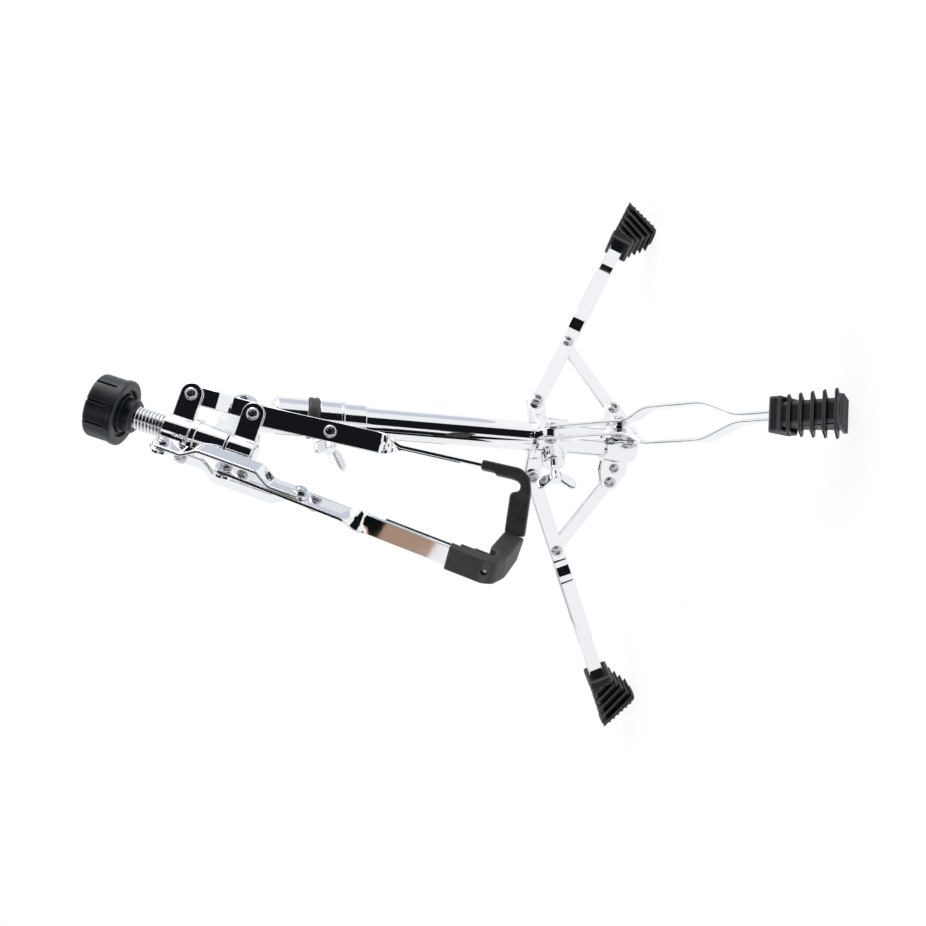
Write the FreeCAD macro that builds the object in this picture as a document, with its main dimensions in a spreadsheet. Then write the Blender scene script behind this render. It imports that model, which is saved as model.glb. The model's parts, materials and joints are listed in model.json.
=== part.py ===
import FreeCAD, Part
import math
import os
import Sketcher

# Snare drum stand on a folding tripod, with a three-arm drum basket folded down beside the tube.
# Millimetres, +Z up, the origin on the floor under the main tube's axis, the front leg towards -Y.

doc = FreeCAD.newDocument("snare_drum_stand")
sheet = doc.addObject("Spreadsheet::Sheet", "Sizes")

SIZES = [
    # main tube and height clamp
    ("tube_r", 11.1), ("tube_wall", 1.5), ("tube_bottom", 49.5), ("tube_top", 284.0),
    ("post_r", 9.5), ("post_wall", 1.4), ("post_bottom", 92.0), ("post_top", 322.0),
    ("clamp_bottom", 257.0), ("clamp_step", 274.0), ("clamp_top", 291.0),
    ("clamp_low_r", 12.8), ("clamp_high_r", 13.6), ("ring_height", 7.6), ("ring_r", 15.0),
    # tripod linkage
    ("pivot_r", 31.6), ("hub_z", 124.6), ("leg_slope", 26.5), ("stay_len", 69.2),
    ("strip_w", 11.4), ("strip_thick", 2.0), ("strip_gap", 6.9), ("bulge_half", 12.0),
    ("tail_half", 2.3), ("bulge_lead", 10.3), ("bulge_rise", 15.0), ("bulge_flat", 47.0),
    ("bulge_fall", 28.0), ("strip_end", 228.0), ("stay_thick", 2.5), ("stay_w", 11.0),
    ("pin_r", 2.5), ("head_r", 4.4), ("head_thick", 2.4), ("run_gap", 0.08), ("side_gap", 0.2),
    ("hub_r", 15.6), ("hub_low", 20.0), ("flange_r", 17.2), ("flange_high", 6.0), ("lug_round", 6.6),
    ("collar_r", 14.2), ("collar_half", 12.0), ("plate_thick", 2.0), ("plate_round", 7.2),
    ("bolt_share", 0.3046),
    # rubber feet
    ("foot_start", 200.5), ("foot_end", 250.5), ("foot_top", 9.0), ("foot_toe", 8.2), ("foot_deep", 33.7),
    ("foot_rake", 18.3), ("foot_low", 11.0), ("foot_half", 9.8), ("fin_half", 13.3), ("fin_first", 213.7),
    ("fin_step", 8.15), ("fin_thick", 3.4), ("groove", 1.9), ("cap_thick", 3.5),
    # tilter and basket body
    ("swing", 45.8), ("tilt_z", 345.1), ("disc_r", 10.3), ("disc_thick", 9.0), ("bolt_r", 3.0),
    ("tilt", 21.8), ("reach", 54.5), ("depth", 11.3), ("sleeve_s", 21.9), ("roll", 48.9),
    ("rod_r", 8.0), ("rod_start", 111.0), ("rod_tip", 10.0), ("sleeve_r", 10.6),
    # basket linkage
    ("tab_r", 26.8), ("tab_w", 15.5), ("tab_thick", 3.0), ("slider_d", 45.5), ("crank", 53.5),
    ("open0", 5.4),
    ("arm_w", 14.0), ("arm_thick", 2.5), ("twist_start", 84.0), ("twist_end", 104.0), ("arm_len", 190.5),
    ("hook_len", 37.5), ("link_w", 12.6), ("link_thick", 2.5), ("joggle", 7.0),
    ("grip_cover", 32.5), ("grip_under", 5.5), ("grip_half", 8.75), ("grip_out", 3.6), ("grip_in", 4.2),
    ("pad_thick", 13.5), ("grip_tip", 39.0),
    # knob and wing screws
    ("knob_r", 22.8), ("knob_outer", 106.0), ("knob_inner", 84.5), ("boss_r", 11.8), ("boss_end", 76.0),
    ("wing_span", 15.0), ("wing_thick", 2.8),
]
for row, (alias, number) in enumerate(SIZES, 1):
    sheet.set(f"A{row}", alias)
    sheet.set(f"B{row}", str(number))
    sheet.setAlias(f"B{row}", alias)
doc.recompute()


class Size:
    """A number that keeps the sheet formula it comes from."""

    def __init__(self, value, text):
        self.value = float(value)
        self.text = text

    def __add__(self, other):
        other = size(other)
        return Size(self.value + other.value, f"({self.text} + {other.text})")

    def __sub__(self, other):
        other = size(other)
        return Size(self.value - other.value, f"({self.text} - {other.text})")

    def __mul__(self, other):
        other = size(other)
        return Size(self.value * other.value, f"({self.text} * {other.text})")

    def __truediv__(self, other):
        other = size(other)
        return Size(self.value / other.value, f"({self.text} / {other.text})")

    def __neg__(self):
        return Size(-self.value, f"(0 - {self.text})")

    def __radd__(self, other):
        return size(other) + self

    def __rsub__(self, other):
        return size(other) - self

    def __rmul__(self, other):
        return size(other) * self


def size(number):
    return number if isinstance(number, Size) else Size(number, f"({float(number):.6g})")


def sin(angle):
    return Size(math.sin(math.radians(angle.value)), f"sin({angle.text} * 1deg)")


def cos(angle):
    return Size(math.cos(math.radians(angle.value)), f"cos({angle.text} * 1deg)")


def atan2(rise, run):
    return Size(math.degrees(math.atan2(rise.value, run.value)), f"(atan2({rise.text}; {run.text}) / 1deg)")


class Sheet:
    """Reads a driving size by its alias."""

    def __getattr__(self, alias):
        return Size(sheet.get(alias), f"Sizes.{alias}")


S = Sheet()


def moved(x=0, y=0, z=0, yaw=0, pitch=0, roll=0):
    """The formula of a placement."""
    x, y, z, yaw, pitch, roll = (size(v).text for v in (x, y, z, yaw, pitch, roll))
    return f"placement(vector({x}; {y}; {z}); rotation({yaw}; {pitch}; {roll}))"


def frame(name, formula):
    """A named frame that parts are placed in."""
    made = doc.addObject("App::Placement", name)
    made.setExpression("Placement", formula)
    doc.recompute()
    return f"{made.Name}.Placement"


def bound(thing, **sizes):
    for key, number in sizes.items():
        number = size(number)
        setattr(thing, key, number.value)
        thing.setExpression(key, number.text)
    return thing


TURNS = {"z": (0, 0, 0), "x": (0, 90, 0), "y": (0, 0, -90)}


def box(x, y, z, dx, dy, dz, within=None):
    made = bound(doc.addObject("Part::Box", "Block"), Length=dx, Width=dy, Height=dz)
    where = moved(x, y, z)
    made.setExpression("Placement", f"{within} * {where}" if within else where)
    return made


def cylinder(radius, height, x=0, y=0, z=0, axis="z", within=None):
    made = bound(doc.addObject("Part::Cylinder", "Round"), Radius=radius, Height=height)
    where = moved(x, y, z, *TURNS[axis])
    made.setExpression("Placement", f"{within} * {where}" if within else where)
    return made


def sketch(body, plane, loops):
    """A sketch on one of the body's own planes, each corner tied to its sizes."""
    drawn = body.newObject("Sketcher::SketchObject", "Outline")
    support = [f for f in body.Origin.OriginFeatures if f.Role == plane][0]
    drawn.AttachmentSupport = [(support, "")]
    drawn.MapMode = "FlatFace"
    for loop in loops:
        points = [(size(u), size(v)) for u, v in loop]
        first = drawn.GeometryCount
        count = len(points)
        for k, (u, v) in enumerate(points):
            u2, v2 = points[(k + 1) % count]
            start = FreeCAD.Vector(u.value, v.value, 0)
            drawn.addGeometry(Part.LineSegment(start, FreeCAD.Vector(u2.value, v2.value, 0)), False)
        for k in range(count):
            after = first + (k + 1) % count
            drawn.addConstraint(Sketcher.Constraint("Coincident", first + k, 2, after, 1))
        for k, (u, v) in enumerate(points):
            for kind, number in (("DistanceX", u), ("DistanceY", v)):
                index = drawn.addConstraint(Sketcher.Constraint(kind, -1, 1, first + k, 1, number.value))
                drawn.setExpression(f"Constraints[{index}]", number.text)
    return drawn


def prism(name, plane, points, thick):
    """A body padded evenly to both sides of its sketch."""
    body = doc.addObject("PartDesign::Body", name)
    drawn = sketch(body, plane, [points])
    pad = body.newObject("PartDesign::Pad", "Pad")
    pad.Profile = drawn
    pad.SideType = "Symmetric"
    bound(pad, Length=thick)
    drawn.Visibility = False
    return body


def turned(name, points):
    """A body turned about its Z axis from half a section in the XZ plane."""
    body = doc.addObject("PartDesign::Body", name)
    drawn = sketch(body, "XZ_Plane", [points])
    turn = body.newObject("PartDesign::Revolution", "Turn")
    turn.Profile = drawn
    turn.ReferenceAxis = (drawn, ["V_Axis"])
    turn.Angle = 360
    drawn.Visibility = False
    return body


def fuse(shapes):
    made = doc.addObject("Part::MultiFuse", "Union")
    made.Shapes = shapes
    return made


def common(shapes):
    made = doc.addObject("Part::MultiCommon", "Shared")
    made.Shapes = shapes
    return made


def cut(base, tools):
    made = doc.addObject("Part::Cut", "Difference")
    made.Base = base
    made.Tool = tools[0] if len(tools) == 1 else fuse(tools)
    return made


def group(shapes):
    made = doc.addObject("Part::Compound", "Set")
    made.Links = shapes
    return made


NODES = []


def node(name, thing, within=None):
    """Names a finished piece, puts it in its frame and lists it for export."""
    thing.Label = name
    if within:
        thing.setExpression("Placement", within)
    NODES.append(thing)
    return thing


def plate(x0, x1, half, thick, y=0.0, round_end=True):
    """A flat bar along X with round ends, its width along Z, its thickness along Y."""
    x0, x1, half, thick, y = (size(v) for v in (x0, x1, half, thick, y))
    pieces = [box(x0, y - thick / 2, -half, x1 - x0, thick, half * 2)]
    pieces.append(cylinder(half, thick, x0, y - thick / 2, 0, "y"))
    if round_end:
        pieces.append(cylinder(half, thick, x1, y - thick / 2, 0, "y"))
    return fuse(pieces)


def band(points, thick):
    """The outline of a bent strip of even thickness along a centre line of (u, v) points."""
    left, right = [], []
    half = size(thick) / 2
    count = len(points)
    for k, (u, v) in enumerate(points):
        u, v = size(u), size(v)
        back = points[k - 1] if k else None
        ahead = points[k + 1] if k + 1 < count else None
        slopes = []
        for a, b in ((back, (u, v)), ((u, v), ahead)):
            if a is not None and b is not None:
                slopes.append(atan2(size(b[1]) - size(a[1]), size(b[0]) - size(a[0])))
        mean = (slopes[0] + slopes[-1]) / 2
        lean = (slopes[-1] - slopes[0]) / 2
        wide = half / cos(lean)
        left.append((u - wide * sin(mean), v + wide * cos(mean)))
        right.append((u + wide * sin(mean), v - wide * cos(mean)))
    return left + right[::-1]


LEGS = (("front", -90), ("right", 30), ("left", 150))
collar_z = S.hub_z - S.stay_len * sin(S.leg_slope) * 2
strip_mid = S.strip_gap / 2 + S.strip_thick / 2
bulge_start = S.stay_len + S.bulge_lead
bulge_full = bulge_start + S.bulge_rise
bulge_back = bulge_full + S.bulge_flat
bulge_end = bulge_back + S.bulge_fall
clamp_bolt_r = S.collar_r + (S.pivot_r - S.collar_r) * S.bolt_share
grip_start = S.arm_len - S.grip_cover
grip_end = S.arm_len + S.grip_under
hole_r = S.pin_r + S.run_gap
fit = 0.02

# Main tube: open steel tube with a hole for the height screw's tip
SCREW_AZ = 216
screw_z = S.clamp_step + 8.5
height_frame = frame("HeightScrewFrame", moved(0, 0, screw_z, SCREW_AZ))
lower = turned("LowerTube", [(S.tube_r - S.tube_wall, S.tube_bottom), (S.tube_r, S.tube_bottom),
                             (S.tube_r, S.tube_top), (S.tube_r - S.tube_wall, S.tube_top)])
node("lower_tube", cut(lower, [cylinder(3.4, 12, 4, 0, 0, "x", height_frame)]))

# Height clamp: stepped collar over the tube's top with a screw boss
clamp = turned("ClampCollar", [
    (S.tube_r + fit, S.clamp_bottom), (S.clamp_low_r, S.clamp_bottom), (S.clamp_low_r, S.clamp_step - 1),
    (S.clamp_high_r + 0.5, S.clamp_step - 1), (S.clamp_high_r + 0.5, S.clamp_step + 1),
    (S.clamp_high_r, S.clamp_step + 1), (S.clamp_high_r, S.clamp_top), (S.post_r + 0.1, S.clamp_top),
    (S.post_r + 0.1, S.tube_top), (S.tube_r + fit, S.tube_top)])
clamp_boss = cylinder(6.2, 12, 10.5, 0, 0, "x", height_frame)
clamp_bore = cylinder(S.tube_r + fit, S.tube_top - S.clamp_bottom, 0, 0, S.clamp_bottom)
node("height_clamp", cut(fuse([clamp, clamp_boss]), [clamp_bore,
                                                     cylinder(3.1, 30, 4, 0, 0, "x", height_frame)]))


def wing_screw(tip, collar, span, out):
    """A screw along X from its tip, with two ears rising beside the end of its collar."""
    shank = cylinder(3, collar + 6 - tip, tip, 0, 0, "x")
    head = cylinder(4.8, 7, collar, 0, 0, "x")
    ears = []
    for side in (1, -1):
        ear = [(collar + 1, 2.4 * side), (collar + 7, 2.4 * side), (collar + out, span * side - 4 * side),
               (collar + out, span * side), (collar + out - 7, span * side + 1 * side),
               (collar + 2, 9 * side)]
        ears.append(prism("Ear", "XZ_Plane", ear, S.wing_thick))
    return fuse([shank, head] + ears)


node("height_wing", wing_screw(S.post_r + 0.35, size(23.2), S.wing_span, 17),
     f"{height_frame} * {moved(roll=-40)}")

# Lower stay collar: a split ring with three pairs of plates, clamp bolts and stay pivots
az_frame = {name: frame(f"Azimuth_{name}", moved(0, 0, 0, az)) for name, az in LEGS}
collar_ring = turned("CollarRing", [
    (S.tube_r + fit, collar_z - S.collar_half), (S.collar_r, collar_z - S.collar_half),
    (S.collar_r, collar_z + S.collar_half), (S.tube_r + fit, collar_z + S.collar_half)])
collar_plates, plate_holes, clamp_bolts, stay_pins = [], [], [], []
plate_in = S.stay_thick / 2 + 0.15
for name, az in LEGS:
    for side in (1, -1):
        middle = (plate_in + S.plate_thick / 2) * side
        at = moved(0, middle, collar_z)
        cheek = prism("Cheek", "XZ_Plane", [
            (S.tube_r + 1, -S.collar_half + 1), (S.pivot_r - 8, -S.collar_half + 1),
            (S.pivot_r, -S.plate_round), (S.pivot_r, S.plate_round), (S.pivot_r - 8, S.collar_half - 2),
            (S.tube_r + 1, S.collar_half - 2)], S.plate_thick)
        tip = cylinder(S.plate_round, S.plate_thick, S.pivot_r, -S.plate_thick / 2, 0, "y")
        whole = fuse([cheek, tip])
        whole.setExpression("Placement", f"{az_frame[name]} * {at}")
        collar_plates.append(whole)
    reach = plate_in + S.plate_thick
    plate_holes.append(cylinder(S.pin_r + fit, 30, S.pivot_r, -15, collar_z, "y", az_frame[name]))
    plate_holes.append(cylinder(2 + fit, 30, clamp_bolt_r, -15, collar_z - 1, "y", az_frame[name]))
    for kept, radius, head, x, z in ((stay_pins, S.pin_r, S.head_r, S.pivot_r, collar_z),
                                     (clamp_bolts, size(2), size(3.8), clamp_bolt_r, collar_z - 1)):
        shank = cylinder(radius, reach * 2 + 1, x, -reach - 0.5, z, "y", az_frame[name])
        heads = [cylinder(head, S.head_thick, x, reach, z, "y", az_frame[name]),
                 cylinder(head, S.head_thick, x, -reach - S.head_thick, z, "y", az_frame[name])]
        kept.append(fuse([shank] + heads))
ring_bore = cylinder(S.tube_r + fit, S.collar_half * 4, 0, 0, collar_z - S.collar_half * 2)
node("stay_collar", cut(fuse([collar_ring] + collar_plates), plate_holes + [ring_bore]))
node("collar_bolts", group(clamp_bolts))
node("stay_pins", group(stay_pins))

# Leg hub: flanged barrel sliding on the tube, three lugs, a screw boss and three pivot pins
HUB_AZ = 212
hub_bore = S.tube_r + 0.12
barrel = turned("HubBarrel", [
    (hub_bore, S.hub_z - S.hub_low), (S.hub_r, S.hub_z - S.hub_low), (S.hub_r, S.hub_z),
    (S.flange_r, S.hub_z), (S.flange_r, S.hub_z + S.flange_high), (hub_bore, S.hub_z + S.flange_high)])
hub_frame = frame("HubScrewFrame", moved(0, 0, S.hub_z - 9, HUB_AZ))
lug_thick = S.strip_gap - S.side_gap * 2
lugs, lug_holes, hub_pins = [], [], []
for name, az in LEGS:
    lug = fuse([box(hub_bore + 1, -lug_thick / 2, -S.lug_round, S.pivot_r - hub_bore - 1, lug_thick,
                    S.lug_round * 2),
                cylinder(S.lug_round, lug_thick, S.pivot_r, -lug_thick / 2, 0, "y")])
    lug.setExpression("Placement", f"{az_frame[name]} * {moved(0, 0, S.hub_z)}")
    lugs.append(lug)
    lug_holes.append(cylinder(S.pin_r + fit, 30, S.pivot_r, -15, S.hub_z, "y", az_frame[name]))
    side = S.strip_gap / 2 + S.strip_thick + 0.15
    hub_pins.append(fuse([
        cylinder(S.pin_r, side * 2 + 1, S.pivot_r, -side - 0.5, S.hub_z, "y", az_frame[name]),
        cylinder(S.head_r, S.head_thick, S.pivot_r, side, S.hub_z, "y", az_frame[name]),
        cylinder(S.head_r, S.head_thick, S.pivot_r, -side - S.head_thick, S.hub_z, "y", az_frame[name])]))
hub_boss = cylinder(8.6, 13, 11.5, 0, 0, "x", hub_frame)
through = cylinder(hub_bore, S.hub_low * 4, 0, 0, S.hub_z - S.hub_low * 2)
node("leg_hub", cut(fuse([barrel, hub_boss] + lugs),
                    lug_holes + [through, cylinder(3.1, 30, 6, 0, 0, "x", hub_frame)]))
node("hub_pins", group(hub_pins))
node("hub_wing", wing_screw(S.tube_r + 0.3, size(33), size(14), 14), f"{hub_frame} * {moved(roll=8)}")

# Legs: two bulged strips, a stay, a pivot pin and a finned rubber boot each
leg_frame, stay_frame = {}, {}
foot_length = S.foot_end - S.foot_start
for name, az in LEGS:
    turn = Size(az, f"({az})")
    leg_frame[name] = frame(f"Leg_{name}", moved(S.pivot_r * cos(turn), S.pivot_r * sin(turn), S.hub_z,
                                                 az, S.leg_slope))
    stay_frame[name] = frame(f"Stay_{name}", moved(S.pivot_r * cos(turn), S.pivot_r * sin(turn),
                                                   collar_z, az,
                                                   -S.leg_slope))
    slot_r = S.pin_r + fit
    for side, mark in ((1, "a"), (-1, "b")):
        line = [(-S.strip_w, strip_mid * side), (bulge_start, strip_mid * side),
                (bulge_full, S.bulge_half * side),
                (bulge_back, S.bulge_half * side), (bulge_end, S.tail_half * side),
                (S.strip_end + 8, S.tail_half * side)]
        outline = cut(plate(0, S.strip_end, S.strip_w / 2, 60, 0, False), [
            cylinder(hole_r, 80, 0, -40, 0, "y"), cylinder(slot_r, 80, S.stay_len, -40, 0, "y")])
        strip = common([prism("Strip", "XY_Plane", band(line, S.strip_thick), 40), outline])
        node(f"leg_{name}_strip_{mark}", strip, leg_frame[name])
    side = S.strip_gap / 2 + S.strip_thick
    collar = S.strip_gap / 2 - S.stay_thick / 2 - 0.15
    pin = fuse([cylinder(S.pin_r, side * 2 + 1, S.stay_len, -side - 0.5, 0, "y"),
                cylinder(S.head_r, S.head_thick, S.stay_len, side, 0, "y"),
                cylinder(S.head_r, S.head_thick, S.stay_len, -side - S.head_thick, 0, "y"),
                cylinder(S.head_r, collar, S.stay_len, S.stay_thick / 2 + 0.15, 0, "y"),
                cylinder(S.head_r, collar, S.stay_len, -S.strip_gap / 2, 0, "y")])
    node(f"leg_{name}_pin", pin, leg_frame[name])
    stay = cut(plate(0, S.stay_len, S.stay_w / 2, S.stay_thick), [
        cylinder(hole_r, 20, 0, -10, 0, "y"), cylinder(hole_r, 20, S.stay_len, -10, 0, "y")])
    node(f"stay_{name}", stay, stay_frame[name])
    heel = S.foot_toe - S.foot_deep
    core = prism("Core", "XZ_Plane", [
        (S.foot_start, S.foot_top - S.groove), (S.foot_end - S.cap_thick / 2, S.foot_toe - S.groove),
        (S.foot_end - S.foot_rake - S.cap_thick / 2, heel + S.groove),
        (S.foot_start + 1, -S.foot_low + S.groove)],
        S.foot_half * 2)
    cap = prism("Cap", "XZ_Plane", [
        (S.foot_end - S.cap_thick, S.foot_toe), (S.foot_end, S.foot_toe), (S.foot_end - S.foot_rake, heel),
        (S.foot_end - S.foot_rake - S.cap_thick, heel)], S.foot_half * 2 + 1.2)
    mouth = prism("Mouth", "XZ_Plane", [
        (S.foot_start - 1, S.foot_top), (S.foot_start + 4, S.foot_top), (S.foot_start + 3, -S.foot_low),
        (S.foot_start - 2, -S.foot_low)], S.foot_half * 2 + 2.4)
    fins = []
    lean = S.foot_rake / S.foot_deep
    for k in range(5):
        top = S.fin_first + S.fin_step * k
        share = (top + S.fin_thick - S.foot_start) / foot_length
        low = S.foot_low + (S.foot_deep - S.foot_toe - S.foot_low) * share
        drop = (S.foot_toe + low) * lean
        fins.append(prism("Fin", "XZ_Plane", [
            (top - S.fin_thick / 2, S.foot_toe), (top + S.fin_thick / 2, S.foot_toe),
            (top + S.fin_thick / 2 - drop, -low), (top - S.fin_thick / 2 - drop, -low)], S.fin_half * 2))
    floor = box(100, -60, -S.hub_z - 80, 250, 120, 80, moved(0, 0, 0, 0, -S.leg_slope))
    tail = S.tail_half + S.strip_thick / 2 + fit
    pocket = box(S.foot_start - 10, -tail, -S.strip_w / 2 - fit, S.strip_end - S.foot_start + 10, tail * 2,
                 S.strip_w + fit * 2)
    node(f"leg_{name}_foot", cut(fuse([core, cap, mouth] + fins), [floor, pocket]), leg_frame[name])

# Sliding upper tube with its rubber ring and the tilter base
post = frame("Post", moved(0, 0, 0, S.swing))
ring_z = S.clamp_top + 0.15
node("buffer_ring", turned("BufferRing", [
    (S.post_r + 0.1, ring_z), (S.ring_r - 1.2, ring_z), (S.ring_r, ring_z + 1.2),
    (S.ring_r, ring_z + S.ring_height - 1.2), (S.ring_r - 1.2, ring_z + S.ring_height),
    (S.post_r + 0.1, ring_z + S.ring_height)]))
node("upper_tube", turned("UpperTube", [
    (S.post_r - S.post_wall, S.post_bottom), (S.post_r, S.post_bottom), (S.post_r, S.post_top),
    (S.post_r - S.post_wall, S.post_top)]), post)
base_z = ring_z + S.ring_height + 0.15
socket = turned("TilterSocket", [
    (S.post_r + fit, base_z), (S.clamp_high_r, base_z), (S.clamp_high_r, S.post_top),
    (S.clamp_high_r - 3.5, S.post_top + 4), (0, S.post_top + 4), (0, S.post_top),
    (S.post_r + fit, S.post_top)])
face_gap = 0.2
neck = box(-10, face_gap, S.post_top - 5, 20, S.disc_thick, S.tilt_z - S.post_top + 5)
disc = cylinder(S.disc_r, S.disc_thick, 0, face_gap, S.tilt_z, "y")
neck_bore = cylinder(S.post_r + fit, S.post_top - base_z + 1, 0, 0, base_z - 1)
node("tilter_base", cut(fuse([socket, neck, disc]), [cylinder(S.bolt_r + fit, 40, 0, -20, S.tilt_z,
                                                              "y"), neck_bore]),
     post)
bolt_end = S.disc_thick + 15
node("tilt_bolt", fuse([
    cylinder(S.bolt_r, bolt_end + S.disc_thick + 2, 0, -S.disc_thick - 2, S.tilt_z, "y"),
    cylinder(6.2, 4, 0, -S.disc_thick - face_gap - 4.2, S.tilt_z, "y")]), post)
wing_frame = f"{post} * {moved(0, face_gap + S.disc_thick + 0.2, S.tilt_z, 90)}"
tilt_wing = cut(wing_screw(size(2), size(0), S.wing_span, 13),
                [cylinder(S.bolt_r + 0.1, 40, -10, 0, 0, "x")])
node("tilt_wing", tilt_wing, f"{wing_frame} * {moved(roll=25)}")

# Basket body: bracket casting on the tilter disc, threaded rod and the arm hub
tipped = moved(0, 0, S.tilt_z, 0, S.tilt, 180)
basket = frame("Basket", f"{post} * {tipped} * {moved(-S.reach, S.depth, S.sleeve_s)}")
asm = [frame(f"Set{k + 1}", f"{basket} * {moved(yaw=S.roll + 120 * k)}") for k in range(3)]
back = -S.depth + face_gap
wide = 16
sleeve_hi = -S.slider_d + 10
sleeve = fuse([
    cylinder(S.rod_r + 3.2, 25.6, 0, 0, sleeve_hi), cylinder(S.rod_r + 4.6, 4.5, 0, 0, sleeve_hi),
    box(0, back, -S.sleeve_s - 8, S.reach, S.disc_thick, wide),
    box(0, back, -S.sleeve_s - 8, 13, -back, wide),
    cylinder(S.disc_r, S.disc_thick, S.reach, back, -S.sleeve_s, "y")])
node("basket_bracket", cut(sleeve, [
    cylinder(S.rod_r + fit, 60, 0, 0, -60), cylinder(S.bolt_r + 0.1, 60, S.reach, -40, -S.sleeve_s,
                                                     "y")]), basket)
node("basket_rod", turned("BasketRod", [
    (0, -S.rod_start), (S.rod_r - 1.5, -S.rod_start), (S.rod_r, -S.rod_start + 1.5),
    (S.rod_r, S.rod_tip - 1),
    (S.rod_r - 1, S.rod_tip), (0, S.rod_tip)]), basket)


def tabbed(z0, z1, bore, tab_y, tab_z):
    """A sleeve on the rod with three round-ended tabs, their pin holes open."""
    pieces = [cylinder(S.sleeve_r, z1 - z0, 0, 0, z0)]
    holes = [cylinder(bore, 200, 0, 0, -100)]
    for k in range(3):
        turn = moved(yaw=S.roll + 120 * k)
        ear = fuse([box(S.rod_r + 1, tab_y, tab_z - S.tab_w / 2, S.tab_r - S.rod_r - 1, S.tab_thick,
                        S.tab_w),
                    cylinder(S.tab_w / 2, S.tab_thick, S.tab_r, tab_y, tab_z, "y")])
        ear.setExpression("Placement", turn)
        pieces.append(ear)
        holes.append(cylinder(S.pin_r + fit, 40, S.tab_r, -20, tab_z, "y", turn))
    return cut(fuse(pieces), holes)


arm_side = S.arm_thick / 2
hub_tab = arm_side + 0.15
node("arm_hub", tabbed(size(-8.9), size(9), S.rod_r + fit, hub_tab, size(0)), basket)
link_face = arm_side + 0.15
slider_tab = -arm_side
node("slider_hub", tabbed(-S.slider_d - 9.5, -S.slider_d + 9.3, S.rod_r + 0.1, slider_tab, -S.slider_d),
     basket)
hinge_bolts, slider_bolts = [], []
for k in range(3):
    turn = moved(yaw=S.roll + 120 * k)
    top = hub_tab + S.tab_thick
    hinge_bolts.append(fuse([
        cylinder(S.pin_r, top + arm_side + 1.15, S.tab_r, -arm_side - 0.65, 0, "y", turn),
        cylinder(S.head_r, 2.8, S.tab_r, top, 0, "y", turn),
        cylinder(S.head_r, 4.4, S.tab_r, -arm_side - 0.15 - 4.4, 0, "y", turn)]))
    slider_bolts.append(fuse([
        cylinder(S.pin_r, S.tab_thick + 0.5, S.tab_r, slider_tab, -S.slider_d, "y", turn),
        cylinder(S.head_r, 2.8, S.tab_r, slider_tab + S.tab_thick, -S.slider_d, "y", turn)]))
node("arm_hinge_bolts", group(hinge_bolts), basket)
node("slider_bolts", group(slider_bolts), basket)

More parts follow.
